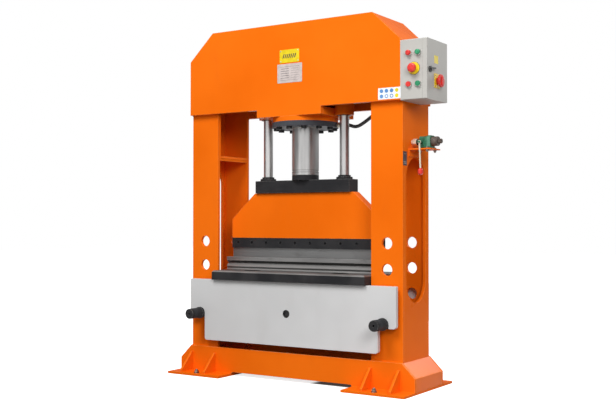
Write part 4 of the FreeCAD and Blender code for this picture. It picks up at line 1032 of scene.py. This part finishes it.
def seenDirectly(shader):  # 1 for camera, glossy and transmission rays
    rays = ("Is Camera Ray", "Is Glossy Ray", "Is Transmission Ray")
    camera, glossy, through = (shader.node("ShaderNodeLightPath", None, None, ray) for ray in rays)
    return camera.sum("MAXIMUM", camera.sum("MAXIMUM", camera, glossy), through)


def setSky():
    world = bpy.data.worlds.new("studio")
    bpy.context.scene.world = world
    sky = Shader(world)
    light, white = (
        sky.node("ShaderNodeBackground", None, {"Color": stageLook["white"], "Strength": strength})
        for strength in (stageLook["skyStrength"], 1.0)
    )
    both = sky.node("ShaderNodeMixShader", None, {0: seenDirectly(sky), 1: light, 2: white})
    sky.node("ShaderNodeOutputWorld", None, {"Surface": both})


def setFloor():
    material = bpy.data.materials.new("floor")
    ground = Shader(material)
    under, brightness = stageLook["under"], stageLook["floorGlow"]
    matt = ground.node("ShaderNodeBsdfDiffuse", None, {"Color": stageLook["floor"]})
    glow = ground.node("ShaderNodeEmission", None, {"Color": stageLook["white"], "Strength": brightness})
    lit = ground.node("ShaderNodeAddShader", None, {0: matt, 1: glow})
    spot = ground.node("ShaderNodeTexCoord", None, None, "Object")
    ramps = []
    for axis in ("X", "Y"):
        along = ground.node("ShaderNodeSeparateXYZ", None, {0: spot}, axis)
        ramps += [along.between(start, full) for start, full in under[axis]]
    paintedShadowMask = ramps[0] * ramps[1] * ramps[2] * ramps[3]
    # painted shadow: a dark emission mixed in over the floor beneath the base
    paintedShadow = ground.node("ShaderNodeEmission", None, {"Color": under["shade"], "Strength": 1.0})
    lit = ground.node("ShaderNodeMixShader", None, {0: paintedShadowMask, 1: lit, 2: paintedShadow})
    bounce = ground.node("ShaderNodeBsdfDiffuse", None, {"Color": stageLook["floorBounce"]})
    shown = ground.node("ShaderNodeMixShader", None, {0: seenDirectly(ground), 1: bounce, 2: lit})
    ground.node("ShaderNodeOutputMaterial", None, {"Surface": shown})
    mesh = bmesh.new()
    half = stageLook["floorHalf"]
    corners = ((-half, -half), (half, -half), (half, half), (-half, half))
    mesh.faces.new([mesh.verts.new((x, y, stageLook["floorLow"])) for x, y in corners])
    meshObject("floor", mesh, material)


def setLamps():
    for k, (place, size, watts, mirrored) in enumerate(stageLook["lamps"]):
        data = bpy.data.lights.new("lamp%d" % k, "AREA")
        data.size = size
        data.energy = watts
        lamp = placed("lamp%d" % k, data)
        lamp.location = place
        lamp.visible_glossy = mirrored
        lamp.rotation_euler = (Vector(stageLook["aim"]) - Vector(place)).to_track_quat("-Z", "Y").to_euler()


def setCards():  # only reflections see them, as beside any polished rod in a studio
    cards = stageLook["cards"]
    for k, (start, end, shade) in enumerate(cards["each"]):
        material = bpy.data.materials.new("flag%d" % k)
        card = Shader(material)
        grey = card.node("ShaderNodeEmission", None, {"Color": stageLook["white"], "Strength": shade})
        card.node("ShaderNodeOutputMaterial", None, {"Surface": grey})
        mesh = bmesh.new()
        columns = []
        for step in range(cards["steps"] + 1):
            angle = math.radians(start + (end - start) * step / cards["steps"])
            x, y = cards["radius"] * math.cos(angle), cards["radius"] * math.sin(angle)
            columns.append([mesh.verts.new((x, y, z)) for z in (cards["low"], cards["high"])])
        for left, right in zip(columns, columns[1:]):
            mesh.faces.new((left[0], right[0], right[1], left[1]))
        flag = meshObject("flag%d" % k, mesh, material)
        flag.visible_camera = flag.visible_diffuse = flag.visible_shadow = flag.visible_transmission = False


setSky()
setFloor()
setLamps()
setCards()

# camera as the photograph was taken
shot = {"place": (2.7844, -4.2955, 0.8279), "tilt": 91.01, "turn": 32.80, "lens": 56.03, "sensor": 36.0}
cameraData = bpy.data.cameras.new("camera")
cameraData.lens = shot["lens"]
cameraData.sensor_width = shot["sensor"]
camera = placed("camera", cameraData)
camera.location = shot["place"]
camera.rotation_euler = (math.radians(shot["tilt"]), 0, math.radians(shot["turn"]))
bpy.context.scene.camera = camera
bpy.context.scene.view_settings.view_transform = "Standard"
print("stage set")
